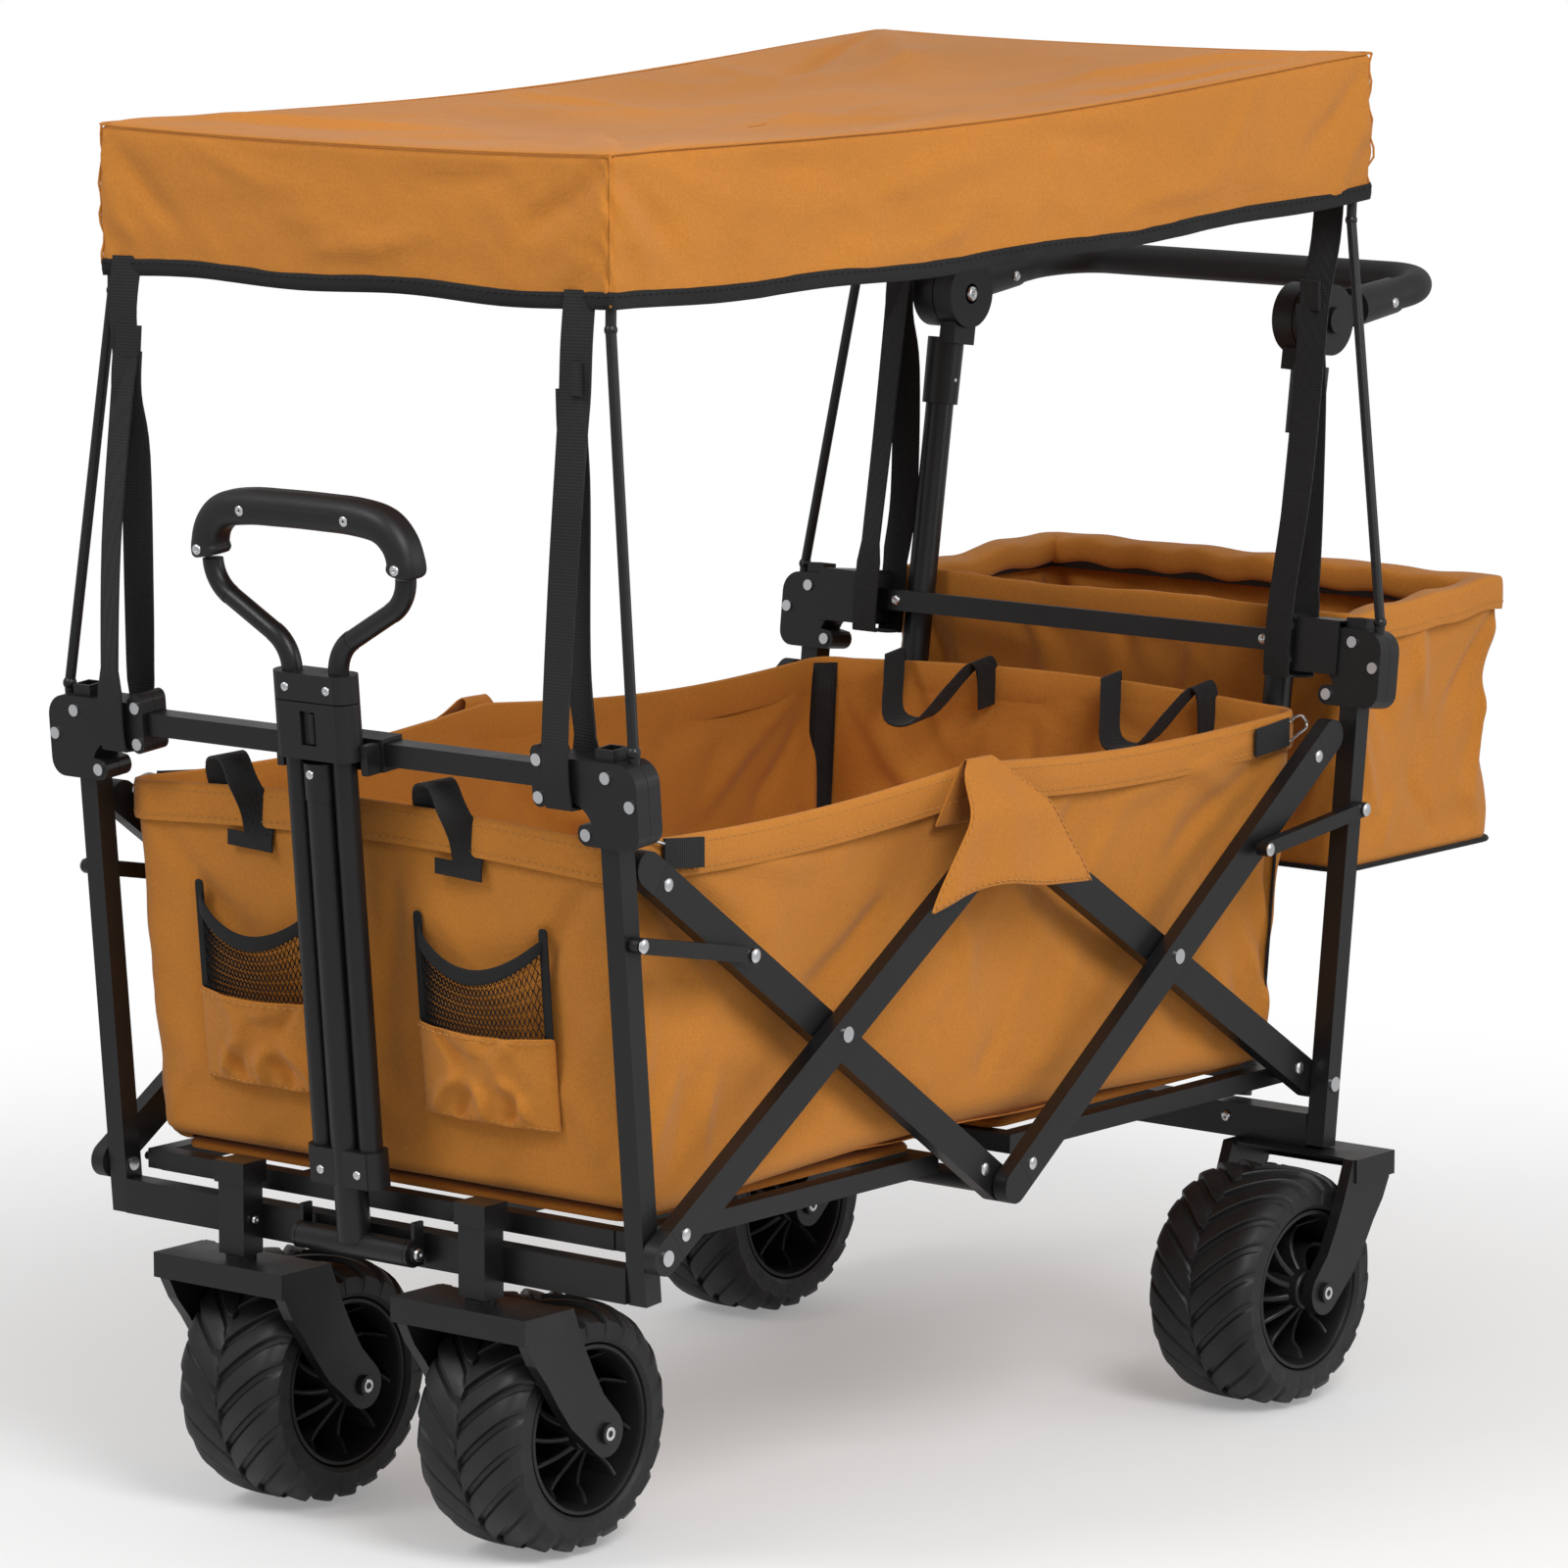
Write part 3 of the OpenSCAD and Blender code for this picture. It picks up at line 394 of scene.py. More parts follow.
def crease(p, scale, amount, seed=0.0, sharp=3):
    """Sharp-edged folds from ridged noise, in millimetres."""
    q = Vector((p[0] * scale[0] + seed, p[1] * scale[1] - seed, p[2] * scale[2] + 2 * seed)) / 100
    return amount * ((1 - abs(noise.noise(q))) ** sharp - 0.5)


FOLD_GAIN = 1.9  # how much deeper every pleat is than its list says


def folds(u, v, lines):
    """Height of pleats along lines (u0, v0, u1, v1, width, height), steep on one side, faded at the ends."""
    total = 0.0
    for u0, v0, u1, v1, width, high in lines:
        du, dv = u1 - u0, v1 - v0
        length = hypot(du, dv)
        t = ((u - u0) * du + (v - v0) * dv) / length ** 2
        if not -0.12 < t < 1.12:
            continue
        d = ((u - u0) * dv - (v - v0) * du) / length / (width * (0.55 + 0.6 * t))
        d += 0.25 * sin(t * 7 + u0)
        if abs(d) > 3.2:
            continue
        slope = exp(-d * d * (2.6 if d > 0 else 0.8))
        total += FOLD_GAIN * high * slope * smoothstep(-0.1, 0.12, t) * (1 - smoothstep(0.55, 1.1, t))
    return total


def rounded_path(x, y0, y1, r, n_side, n_end, n_corner):
    """Closed path round a rectangle, anticlockwise from the front left: (x, y, outward x, outward y)."""
    out = []

    def corner(cx, cy, a0):
        for k in range(n_corner):
            a = radians(a0 + 90 * k / n_corner)
            out.append((cx + r * cos(a), cy + r * sin(a), cos(a), sin(a)))

    corner(-x + r, y0 + r, 180)
    out.extend((mix(-x + r, x - r, k / n_end), y0, 0, -1) for k in range(n_end))
    corner(x - r, y0 + r, 270)
    out.extend((x, mix(y0 + r, y1 - r, k / n_side), 1, 0) for k in range(n_side))
    corner(x - r, y1 - r, 0)
    out.extend((mix(x - r, -x + r, k / n_end), y1, 0, 1) for k in range(n_end))
    corner(-x + r, y1 - r, 90)
    out.extend((-x, mix(y1 - r, y0 + r, k / n_side), -1, 0) for k in range(n_side))
    return out


def stitches(name, paths, body, r=0.45, dash=4.2, gap=2.4):
    """Sewn thread: short raised dashes along each path of close points."""
    parts = []
    for path in paths:
        run, on, seg = 0.0, True, [Vector(path[0])]
        for a, b in zip(path, path[1:]):
            a, b = Vector(a), Vector(b)
            length = (b - a).length
            at = 0.0
            while at < length:
                left = (dash if on else gap) - run
                step = min(left, length - at)
                at += step
                run += step
                p = a.lerp(b, at / length if length else 0)
                if on:
                    seg.append(p)
                if run >= (dash if on else gap) - 1e-6:
                    if on and len(seg) > 1:
                        parts.append(tube([seg[0], seg[-1]], r, sides=4))
                    on, run = not on, 0.0
                    seg = [p]
    return piece(name, *join(parts), THREAD, body)


# ---- canopy
CAN_X, CAN_F, CAN_R = 239, -415, 477  # half width, front and rear


def soft(o):
    """Give a cloth piece its own copy of its mesh."""
    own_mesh(o)
    return o


def canopy_top(x, y):
    t = (y - CAN_F) / (CAN_R - CAN_F)
    dip = sin(pi * min(1, max(0, t))) ** 1.3
    across = 1 - min(1, abs(x) / CAN_X) ** 2.4
    return 982 + 26 * t - dip * (11 + 17 * across) - 3.5 * across


def canopy_hem(y):
    t = (y - CAN_F) / (CAN_R - CAN_F)
    return 876 + 21 * t - 9 * sin(pi * t)


# pleats, in millimetres: along the panel and up it (0 hem, 100 top), and on the top in (x, y)
CANOPY_SIDE = [
    (-405, 92, -330, 20, 11, -3.0), (-405, 70, -365, 8, 8, 2.6), (-395, 98, -250, 55, 10, 2.0),
    (-260, 88, -120, 66, 12, -2.6), (-120, 60, 40, 84, 14, 2.2), (60, 88, 210, 58, 12, -2.4),
    (470, 95, 380, 30, 10, -2.8), (468, 60, 420, 5, 7, 2.4), (330, 96, 270, 40, 9, 2.0),
    (-20, 30, -170, 12, 10, 1.8), (150, 22, 290, 34, 9, 1.9),
]
CANOPY_END = [
    (-232, 92, -150, 26, 10, -3.0), (-230, 60, -190, 6, 7, 2.4), (-150, 90, -30, 60, 11, 2.2),
    (232, 94, 150, 40, 10, -3.0), (230, 66, 190, 10, 7, 2.6), (-30, 24, 90, 40, 10, 2.2),
    (150, 88, 40, 74, 10, -2.0),
]
CANOPY_TOP = [
    (230, -405, 20, -170, 17, 4.6), (232, -398, 130, -150, 12, -4.0), (222, -408, 60, -330, 11, 3.6),
    (-230, -405, -40, -190, 17, 4.6), (-232, -396, -150, -140, 12, -3.6), (-222, -408, -70, -350, 11, 3.2),
    (230, 465, 40, 260, 17, 4.8), (232, 458, 140, 200, 12, -3.8), (-230, 465, -50, 270, 17, 4.6),
    (-226, 452, -120, 190, 11, -3.2), (0, -400, 12, -250, 15, 2.6), (235, 60, 120, 40, 16, 2.8),
    (-235, 20, -110, 50, 16, 2.8), (236, -160, 150, -110, 12, 2.4), (-236, 250, -140, 200, 12, 2.4),
    (80, 120, -60, 60, 22, 2.6),
]


def canopy():
    path = rounded_path(CAN_X - 3, CAN_F + 3, CAN_R - 3, 8, 104, 60, 6)
    rows = []
    skirt = 15
    for j in range(skirt + 1):
        s = j / skirt
        row = []
        for x, y, nx, ny in path:
            hz = canopy_hem(y) + (1.5 * sin(x / 31) if abs(ny) > 0.7 else 1.2 * sin(y / 37))
            z = mix(hz, canopy_top(x, y) - 3, s)
            corner = max(0.0, 1 - hypot(abs(x) - CAN_X + 3, min(abs(y - CAN_F), abs(y - CAN_R))) / 34)
            waves = 0.6 + 0.4 * sin((x + y) / 29)
            out = 1.6 * sin(pi * s) - 1.8 * (1 - s) * (1 - corner) * waves
            out += crease((x, y, z), (1.1, 1.1, 2.1), 2.6, 3.1)
            out += crease((x + z, y + z, z), (2.6, 2.6, 1.2), 1.3, 8)
            along = x if abs(ny) > 0.7 else y
            out += folds(along, s * 100, CANOPY_SIDE if abs(nx) > 0.7 else CANOPY_END)
            out *= 0.35 + 0.65 * sin(pi * min(1, 0.12 + s * 0.9))
            out += corner * (1.5 * sin(z / 4.1 + x) - 1.6 * sin(pi * s))
            out = min(out - 1.5 * (1 - corner), 3.0)
            row.append((x + nx * out, y + ny * out, z))
        rows.append(row)
    hem = rows[0]
    rings = 26
    cy = (CAN_F + CAN_R) / 2
    for j in range(1, rings + 1):
        s = 1 - j / rings
        row = []
        for x, y, nx, ny in path:
            ex, ey = x - nx * 2.0 * min(1, j), y - ny * 2.0 * min(1, j)
            # rings shrink towards the middle line so the sheet stays one net
            px, py = ex * s, cy + (ey - cy) * (0.02 + 0.98 * s)
            fold = crease((px, py, 0), (0.7, 0.5, 1), 5.0, 1.7, 4)
            fold += crease((px + py * 0.6, py, 0), (1.8, 0.9, 1), 1.8, 5)
            fold += folds(px, py, CANOPY_TOP)
            z = canopy_top(px, py) + fold * min(1, (1 - s) * 5) - (0.4 if j == 1 else 0)
            row.append((px, py, min(z, 1007.5)))
        rows.append(row)
    o = piece("canopy_cloth", *grid(rows, close_u=True), CLOTH, "front_frame", solid=1.2, sub=1)
    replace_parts(soft(o), "canopy")
    # bound hem, and a piped seam round the top edge
    band = []
    for dz, off in ((-1.5, 0.6), (3.0, 1.4), (9.5, 1.3), (10.5, 0.2)):
        band.append([(x + n[2] * off, y + n[3] * off, z + dz) for (x, y, z), n in zip(hem, path)])
    inner = [[(x - n[2] * 2.2, y - n[3] * 2.2, z + dz) for (x, y, z), n in zip(hem, path)]
             for dz in (9.5, -1.5)]
    b = piece("canopy_binding", *grid(band[::-1] + inner[::-1][:1] + inner[:1], close_u=True, flip=True),
              BINDING, "front_frame")
    soft(b)
    top = rows[skirt]
    seam = piece("canopy_seam", *tube(top, 0.9, sides=6, close=True), CLOTH, "front_frame")
    soft(seam)
    # the vertical corner seams
    parts = []
    for sx in (-1, 1):
        for yy, sy in ((CAN_F, -1), (CAN_R, 1)):
            k = min(range(len(path)), key=lambda i: hypot(path[i][0] - sx * (CAN_X - 5),
                                                          path[i][1] - (yy - sy * 5)))
            pts = [Vector(r[k]) + Vector((path[k][2], path[k][3], 0)) * 0.5 for r in rows[: skirt + 1]]
            parts.append(tube(pts, 0.9, sides=6))
    soft(piece("canopy_corner_seams", *join(parts), CLOTH, "front_frame"))
    line = [Vector(p) + Vector((n[2], n[3], 0)) * 1.9 + Vector((0, 0, 7.6)) for p, n in zip(hem, path)]
    st = stitches("canopy_stitches", [line], "front_frame", r=0.3)
    soft(st)
    st.data.materials[0] = BINDING


# ---- tub
def tub_rim(x, y):
    """Height of the tub's rim: up at the middle of each side, sagging between."""
    if abs(x) > 205:
        t = abs(y + 10) / 400
        return 522 - 9 * sin(pi * min(1, t)) - 8 * t
    return 514 + 9 * cos(x / 232 * pi / 2) - 2


# pleats on the tub's walls, in (y, z) and (x, z)
TUB_SIDE = [
    (-372, 262, -330, 372, 9, 4.4), (-345, 262, -318, 340, 8, -4.0), (-310, 264, -292, 352, 9, 3.8),
    (-378, 300, -352, 420, 7, 3.4), (-360, 492, -215, 405, 12, -4.2), (-368, 470, -290, 392, 9, 3.6),
    (-352, 500, -150, 470, 13, 3.2), (-270, 262, -235, 318, 9, -3.4), (-210, 268, -150, 300, 11, 3.4),
    (-20, 274, -85, 312, 10, 4.4), (-8, 276, 42, 330, 10, -4.4), (24, 274, 120, 300, 10, 4.0),
    (-60, 290, 18, 292, 8, -3.4), (-95, 436, -210, 360, 13, -4.0), (70, 430, 190, 372, 13, -3.6),
    (-20, 430, 0, 330, 16, 2.6), (200, 505, 330, 462, 12, 3.4), (262, 268, 330, 330, 11, 3.8),
    (345, 268, 372, 352, 8, -3.6), (120, 480, 60, 395, 12, -2.6),
]
TUB_END = [
    (-214, 262, -172, 330, 9, 3.6), (-200, 480, -110, 400, 12, -3.4), (214, 262, 170, 345, 9, 3.8),
    (205, 486, 120, 398, 12, -3.4), (-30, 262, 14, 318, 11, 3.2), (20, 470, -4, 300, 14, -3.0),
    (-20, 476, -28, 320, 12, 2.8), (90, 262, 120, 300, 8, 2.8), (-120, 264, -80, 298, 8, 2.8),
    (60, 492, 110, 470, 9, 2.4), (-60, 492, -120, 472, 9, 2.4), (180, 262, 212, 300, 6, -3.2),
]


def tub():
    rim_path = rounded_path(231, -399, 397, 24, 110, 62, 7)
    low_path = rounded_path(227, -377, 375, 24, 110, 62, 7)
    rows = []
    n = 36
    for j in range(n + 1):
        s = j / n  # 0 at the rim
        row = []
        for (x0, y0, nx, ny), (x1, y1, _, _) in zip(rim_path, low_path):
            side = abs(nx) > 0.8
            bottom = 259 + (14 * cos(min(1, abs(y1) / 375) * pi / 2) if side else 2)
            x, y = mix(x0, x1, s), mix(y0, y1, s)
            z = mix(tub_rim(x0, y0), bottom, s)
            edge = sin(pi * min(1.0, s * 1.05)) ** 0.6
            if side:
                u = y / 400
                # pulled diagonals between the rim corners and the middle joint, and a soft belly below
                out = -3.5 * sin(pi * s) + 2.5 * sin(3 * pi * u + 4 * s)
                out += crease((y * 0.8 + z * 0.9, y * 0.35, z * 0.5), (0.7, 0.5, 0.6), 7.5, 2.2, 4)
                out += crease((y - z * 0.7, z, y), (1.5, 0.7, 0.3), 3.2, 7.7, 4)
                out += folds(y, z, TUB_SIDE) + folds(-y, z, TUB_SIDE[:9])
                top_in = 4.5 * sin(pi * min(1, abs(y + 10) / 400)) * (1 - s) ** 2
                out = out * edge - top_in
                out = min(out - 2.5 * edge, 4.2)
            else:
                out = 1.5 * sin(pi * s) + crease((x, z * 0.6, z), (1.0, 0.9, 0.8), 4.2, 4.4, 4)
                out += crease((x + z, z, x), (1.7, 0.8, 0.4), 2.4, 1.1, 4)
                out += folds(x, z, TUB_END)
                out = min((out - 2) * edge, 3.4)
            row.append((x + nx * out, y + ny * out, z))
        rows.append(row)
    for k, dz in ((8, -4), (20, -7.5)):  # turned under at the floor
        row = [(x - nx * k, y - ny * k, z + dz if abs(nx) < 0.8 else max(z - 13, 250))
               for (x, y, z), (_, _, nx, ny) in zip(rows[n], low_path)]
        rows.append(row)
    o = piece("tub_cloth", *grid(rows, close_u=True, flip=True), CLOTH, "front_frame", solid=1.3, sub=1)
    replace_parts(soft(o), "tub")
    # turned hem round the rim, with two rows of stitching
    top = rows[0]
    hem = []
    for dz, off in ((-26, 1.4), (-24, 2.0), (-3, 2.2), (1.6, 1.2), (2.4, -0.8), (0.5, -2.8), (-24, -3.0),
                    (-26, -2.2)):
        hem.append([(x + q[2] * off, y + q[3] * off, z + dz) for (x, y, z), q in zip(top, rim_path)])
    h = piece("tub_hem", *grid(hem, close_u=True), CLOTH, "front_frame")
    soft(h)
    lines = [[Vector((x + q[2] * 2.3, y + q[3] * 2.3, z + dz)) for (x, y, z), q in zip(top, rim_path)]
             for dz in (-21.5, -3.5)]
    st = stitches("tub_stitches", lines, "front_frame")
    soft(st)
    # inner corner webbing
    parts = []
    for sx in (-1, 1):
        for y0, y1, sy in ((-399, -377, -1), (397, 375, 1)):
            pts = [(sx * mix(221, 217, s), mix(y0, y1, s) - sy * 11, mix(512, 262, s))
                   for s in (i / 10 for i in range(11))]
            parts.append(ribbon(pts, (1, -sx * sy * 1.0, 0), 20, 1.4))
    soft(piece("tub_corner_webbing", *join(parts), WEBBING, "front_frame"))


def floor_boards():
    """Two cloth-covered floor panels, each on its floor frame."""
    for name, body, s in (("front", "front_floor", -1), ("rear", "rear_floor", 1)):
        rows = []
        y0, y1 = s * 366, s * 46
        for k, (inset, z) in enumerate(((5, 245.4), (0.6, 246.4), (0, 249), (1.2, 251.2), (6, 252.4),
                                        (30, 252.9), (70, 252.2), (150, 252.8))):
            path = rounded_path(208 - inset, min(y0, y1) + inset, max(y0, y1) - inset,
                                14 if inset < 14 else 8, 22, 24, 5)
            rows.append([(x, y, z + (noise.noise(Vector((x, y, k)) / 60) * 0.9 if k > 3 else 0)) for x, y, _,
                         _ in path])
        verts, faces = grid(rows, close_u=True)
        n = len(rows[0])
        faces += [tuple(range(len(verts) - n, len(verts))), tuple(range(n))[::-1]]
        piece(f"floor_board_{name}", verts, faces, CLOTH_IN_SHADED, body, auto=50)
    rows = []
    for j in range(61):
        y = mix(-368, 368, j / 60)
        row = []
        for i in range(41):
            x = mix(-220, 220, i / 40)
            edge = max(abs(x) - 195, abs(y) - 345, 0)
            rise = crease((x, y, 0), (1.1, 0.9, 1), 3.4, 9.1) + crease((x + y, y, 0), (0.5, 0.5, 1), 3.0, 2.7)
            row.append((x, y, 256 + min(max(rise, -1.5), 4) + 0.16 * edge))
        rows.append(row)
    o = piece("floor_cloth", *grid(rows), CLOTH_IN_SHADED, "front_frame", solid=1.0)
    soft(o)


def wall_y(z):
    return -377 - 22 * (z - 259) / 255


def side_flaps():
    """The cloth gusset over each upper middle joint."""
    for sx, side in ((-1, "left"), (1, "right")):
        rows = []
        n, m = 14, 22
        for j in range(n + 1):
            s = j / n
            row = []
            for i in range(m + 1):
                u = i / m * 2 - 1
                half = mix(13, 96, s ** 0.86)
                y = -13 + u * half + 2 * s
                z = mix(531, 441 - 11 * abs(u) ** 1.4 - 8 * (1 - abs(u)) * sin(2 * u), s)
                x = mix(240, 270.5, smoothstep(0, 0.42, s)) - 3.5 * abs(u) ** 2 * s
                x += crease((y, z, 0), (1.6, 1.6, 1), 3.2, 6.1) * s + 1.2 * cos(u * 7) * s
                row.append((sx * x, y, z))
            rows.append(row)
        back = [[(sx * (232 - 0.3 * i), -13 + (i_ / m * 2 - 1) * (13 + 30 * i / 5), 527 - 9 * i)
                 for i_ in range(m + 1)]
                for i in range(5, -1, -1)]
        o = piece(f"side_flap_{side}", *grid(back + rows, flip=sx > 0), CLOTH, "front_frame", solid=1.4,
                  sub=1)
        soft(o)
        edge = [Vector(p) + Vector((sx * 0.9, 0, 3.5)) for p in rows[-1]]
        left = [Vector(r[0]) + Vector((sx * 0.9, 3, 0)) for r in rows[2:]]
        right = [Vector(r[-1]) + Vector((sx * 0.9, -3, 0)) for r in rows[2:]]
        st = stitches(f"side_flap_stitches_{side}", [edge, left, right], "front_frame")
        soft(st)


# pleats of a pocket, in percent of its width and height
POCKET = [
    (12, 5, 34, 60, 7, 4.5), (30, 3, 42, 40, 6, -4.0), (52, 4, 48, 52, 6, 4.6), (66, 5, 78, 46, 6, -4.2),
    (84, 8, 62, 70, 7, 4.2), (22, 96, 36, 60, 7, -3.6), (70, 97, 60, 58, 8, 3.8), (44, 98, 50, 74, 7, 3.6),
]


def front_pockets():
    """A cloth pocket with a net above it, each side of the pull handle."""
    cloth, nets, bands, sewn = [], [], [], []
    for sx in (-1, 1):
        rows = []
        for j in range(19):
            s = j / 18
            row = []
            for i in range(33):
                u = i / 32
                x = sx * mix(41, 165, u)
                z = mix(306, 373 - 3 * sin(pi * u), s)
                bulge = (sin(pi * u) ** 0.45) * mix(7, 15, s) + 2.4
                bulge += crease((x, z, 0), (2.2, 2.2, 1), 5.0, 2.9 + sx) * sin(pi * u) * (0.4 + 0.6 * s)
                bulge += folds(u * 100, s * 100, POCKET) * sin(pi * u) ** 0.4
                row.append((x, wall_y(z) - min(bulge, 19), z))
            rows.append(row)
        cloth.append(grid(rows, flip=sx < 0))
        sewn.append([Vector(r[0]) + Vector((sx * 2.5, -1.2, 0)) for r in rows])
        sewn.append([Vector(r[-1]) + Vector((-sx * 2.5, -1.2, 0)) for r in rows])
        for r in (rows[0], rows[-1]):
            sewn.append([Vector(p) + Vector((0, -1.3, 2.5 if r is rows[0] else -3)) for p in r])
        # net: diamonds between the cloth and a bound top edge that hangs slack in the middle
        nu, nv = 30, 12
        pts, faces = [], []
        for j in range(nv + 1):
            for i in range(nu + 1):
                u = (i + (0.5 if j % 2 else 0)) / nu
                u = min(u, 1)
                s = j / nv
                x = sx * mix(48, 158, u)
                top = 437 - 27 * sin(pi * u) ** 0.8
                z = mix(370, top, s)
                y = wall_y(z) - 2.4 - sin(pi * u) ** 0.5 * mix(13.5, 15.5, s)
                pts.append((x, max(y, wall_y(z) - 19), z))
        for j in range(nv - 1):
            if j % 2 == 0:
                for i in range(nu):
                    a = j * (nu + 1) + i
                    up = (j + 1) * (nu + 1) + i
                    faces.append((a + 1, up, (j + 2) * (nu + 1) + i + 1, up + 1) if j + 2 <= nv and i < nu - 1
                                 else (a, a + 1, up))
        nets.append((pts, faces))
        top_edge = [(sx * mix(46, 160, u), 0, 438 - 27 * sin(pi * u) ** 0.8)
                    for u in (i / 20 for i in range(21))]
        path = [(x, wall_y(z) - 3 - sin(pi * i / 20) ** 0.5 * 15.5, z) for i,
                (x, _, z) in enumerate(top_edge)]
        bands.append(ribbon(path, (0, 0.1, 1), 11, 2.0))
        for x in (46, 160):
            side = [(sx * x, wall_y(z) - 3.2, z) for z in range(366, 452, 6)]
            bands.append(ribbon(side, (1, 0, 0), 8, 1.8))
    o = piece("pocket_cloth", *join(cloth), CLOTH, "front_frame", solid=1.2, sub=1)
    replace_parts(o, "front_pockets")
    net = piece("pocket_net", *join(nets), NET, "front_frame", smooth=False)
    w = net.modifiers.new("wire", "WIREFRAME")
    w.thickness, w.use_even_offset = 0.0014, False
    b = piece("pocket_binding", *join(bands), BINDING, "front_frame", sub=1)
    st = stitches("pocket_stitches", sewn, "front_frame")
    for p in (o, net, b, st):
        soft(p)


def webbing_bits():
    """Carry loops on the end walls, corner tabs with wire hooks, and the small stop straps."""
    parts, metal = [], []
    for x in (-97, 97):  # front loops: sewn low on the outside, over the rim
        path = bez([(x, wall_y(484) - 4.5, 484), (x, wall_y(505) - 5, 505), (x - 3, -414, 527),
                    (x - 14, -412, 543),
                    (x - 31, -404, 541), (x - 42, -395, 524), (x - 44, -389, 496)], 6)
        turn = [Vector((1, 0, 0.12)).lerp(Vector((0.25, 0.95, 0.1)),
                                          sin(pi * min(1, i / (len(path) - 1) * 1.15)))
                for i in range(len(path))]
        parts.append(ribbon(path, turn, 23, 1.6))
        path = bez([(x + 12, wall_y(484) - 4.6, 482), (x - 30, wall_y(484) - 4.6, 484)], 3)
        parts.append(ribbon(path, (0, 0, 1), 11, 1.4))
    for x0, x1 in ((-150, -60), (60, 150)):  # rear loops hanging inside
        mid = (x0 + x1) / 2
        path = bez([(x0, 388, 492), (x0, 386, 520), (x0 + 4, 380, 528), (x0 + 14, 366, 512),
                    (mid - 14, 345, 484),
                    (mid + 14, 345, 484), (x1 - 14, 366, 512), (x1 - 4, 380, 528), (x1, 386, 520),
                    (x1, 388, 492)], 5)
        parts.append(ribbon(path, (0.15, 1, 0.2), 22, 1.6))
    for sx in (-1, 1):  # corner tabs
        for y, sy, z in ((-338, -1, 502), (352, 1, 500)):
            path = [(sx * 235.4, y - sy * 22, z - 2), (sx * 235.8, y, z), (sx * 235.6, y + sy * 20, z + 2)]
            parts.append(ribbon(bez(path, 4), (0, 0, 1), 21, 2.0))
            hook = bez([(sx * 235.8, y + sy * 20, z + 9), (sx * 234, y + sy * 32, z + 12),
                        (sx * 230, y + sy * 46, z + 10),
                        (sx * 231, y + sy * 50, z + 2), (sx * 234, y + sy * 34, z - 2),
                        (sx * 235.8, y + sy * 20, z - 6)], 6)
            metal.append(tube(hook, 1.1, sides=8))
    o = piece("loops_and_tabs", *join(parts), WEBBING, "front_frame", auto=40)
    soft(o)
    m = piece("wire_hooks", *join(metal), ZINC, "front_frame")
    soft(m)


def canopy_straps():
    """Webbing from the canopy down round the corner clamps and back up, fastened to itself."""
    for end, top_y, top_z, top_x, low_x, place, near, far, deep, join_at, body in (
            ("front", -410.5, 888, 208, 206, F, -16.4, 15.4, 18.6, 205, "front_frame"),
            ("rear", 470, 908, 200, 198.6, R, -18.8, 15.4, 24.2, 190, "rear_frame")):
        parts = []
        for sx in (-1, 1):
            x = sx * low_x
            top = Vector((sx * top_x, top_y, top_z))
            clamp = Vector(place(x, near, 329 + deep + 4))
            meet = top.lerp(clamp, 1 - join_at / (top_z - clamp.z))
            bow = Vector((sx * 1.5, -3 if end == "front" else 2.5, 0))
            path = [top, top.lerp(meet, 0.35) + bow * 0.6, top.lerp(meet, 0.7) - bow * 0.4, meet,
                    meet.lerp(clamp, 0.5) + bow, clamp,
                    Vector(place(x, near, 329 - deep + 4)), Vector(place(x, near * 0.72, 329 - deep - 1)),
                    Vector(place(x, far * 0.72, 329 - deep - 1)), Vector(place(x, far, 329 - deep + 4)),
                    Vector(place(x, far, 329 + deep + 6)),
                    Vector(place(x - sx * 3, far * 0.8 + 4, 329 + deep + 60)),
                    meet + Vector((-sx * 4, 9, -40)), meet + Vector((-sx * 2, 3.0, 4)),
                    meet + Vector((-sx * 3, 3.4, 34))]
            pts = bez(path, 5)
            twist = [(1, 0.32 * sx * sin(6.5 * i / len(pts) + sx) * (1 if p.z > clamp.z else 0.1), 0) for i,
                     p in enumerate(pts)]
            parts.append(ribbon(pts, twist, 23, 1.5))
            parts.append(ribbon([meet + Vector((-sx * 3, 3.4, 30)), meet + Vector((-sx * 4, 4, 52))],
                                (1, -0.2 * sx, 0), 20, 2.6))
        o = piece(f"{end}_strap_webbing", *join(parts), WEBBING, body, auto=40)
        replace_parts(o, f"{end}_straps")


# ---- basket
BASKET_SIDE = [
    (476, 570, 540, 470, 11, -4.4), (480, 520, 520, 400, 9, 4.0), (676, 572, 610, 480, 11, -4.2),
    (672, 500, 640, 395, 8, 3.8), (560, 575, 585, 480, 12, 3.6), (600, 386, 560, 450, 10, -3.6),
    (520, 388, 548, 440, 9, 3.2), (662, 388, 640, 430, 7, 3.0),
]
BASKET_END = [
    (-214, 570, -140, 460, 12, -4.4), (-205, 500, -168, 392, 9, 4.0), (-90, 574, -40, 450, 13, 3.6),
    (214, 570, 140, 455, 12, -4.4), (206, 500, 170, 392, 9, 3.8), (90, 574, 50, 455, 13, 3.4),
    (-20, 388, 30, 450, 11, -3.6), (110, 388, 70, 430, 9, 3.4), (-120, 388, -90, 436, 9, 3.2),
    (10, 575, 0, 500, 14, -3.0),
]


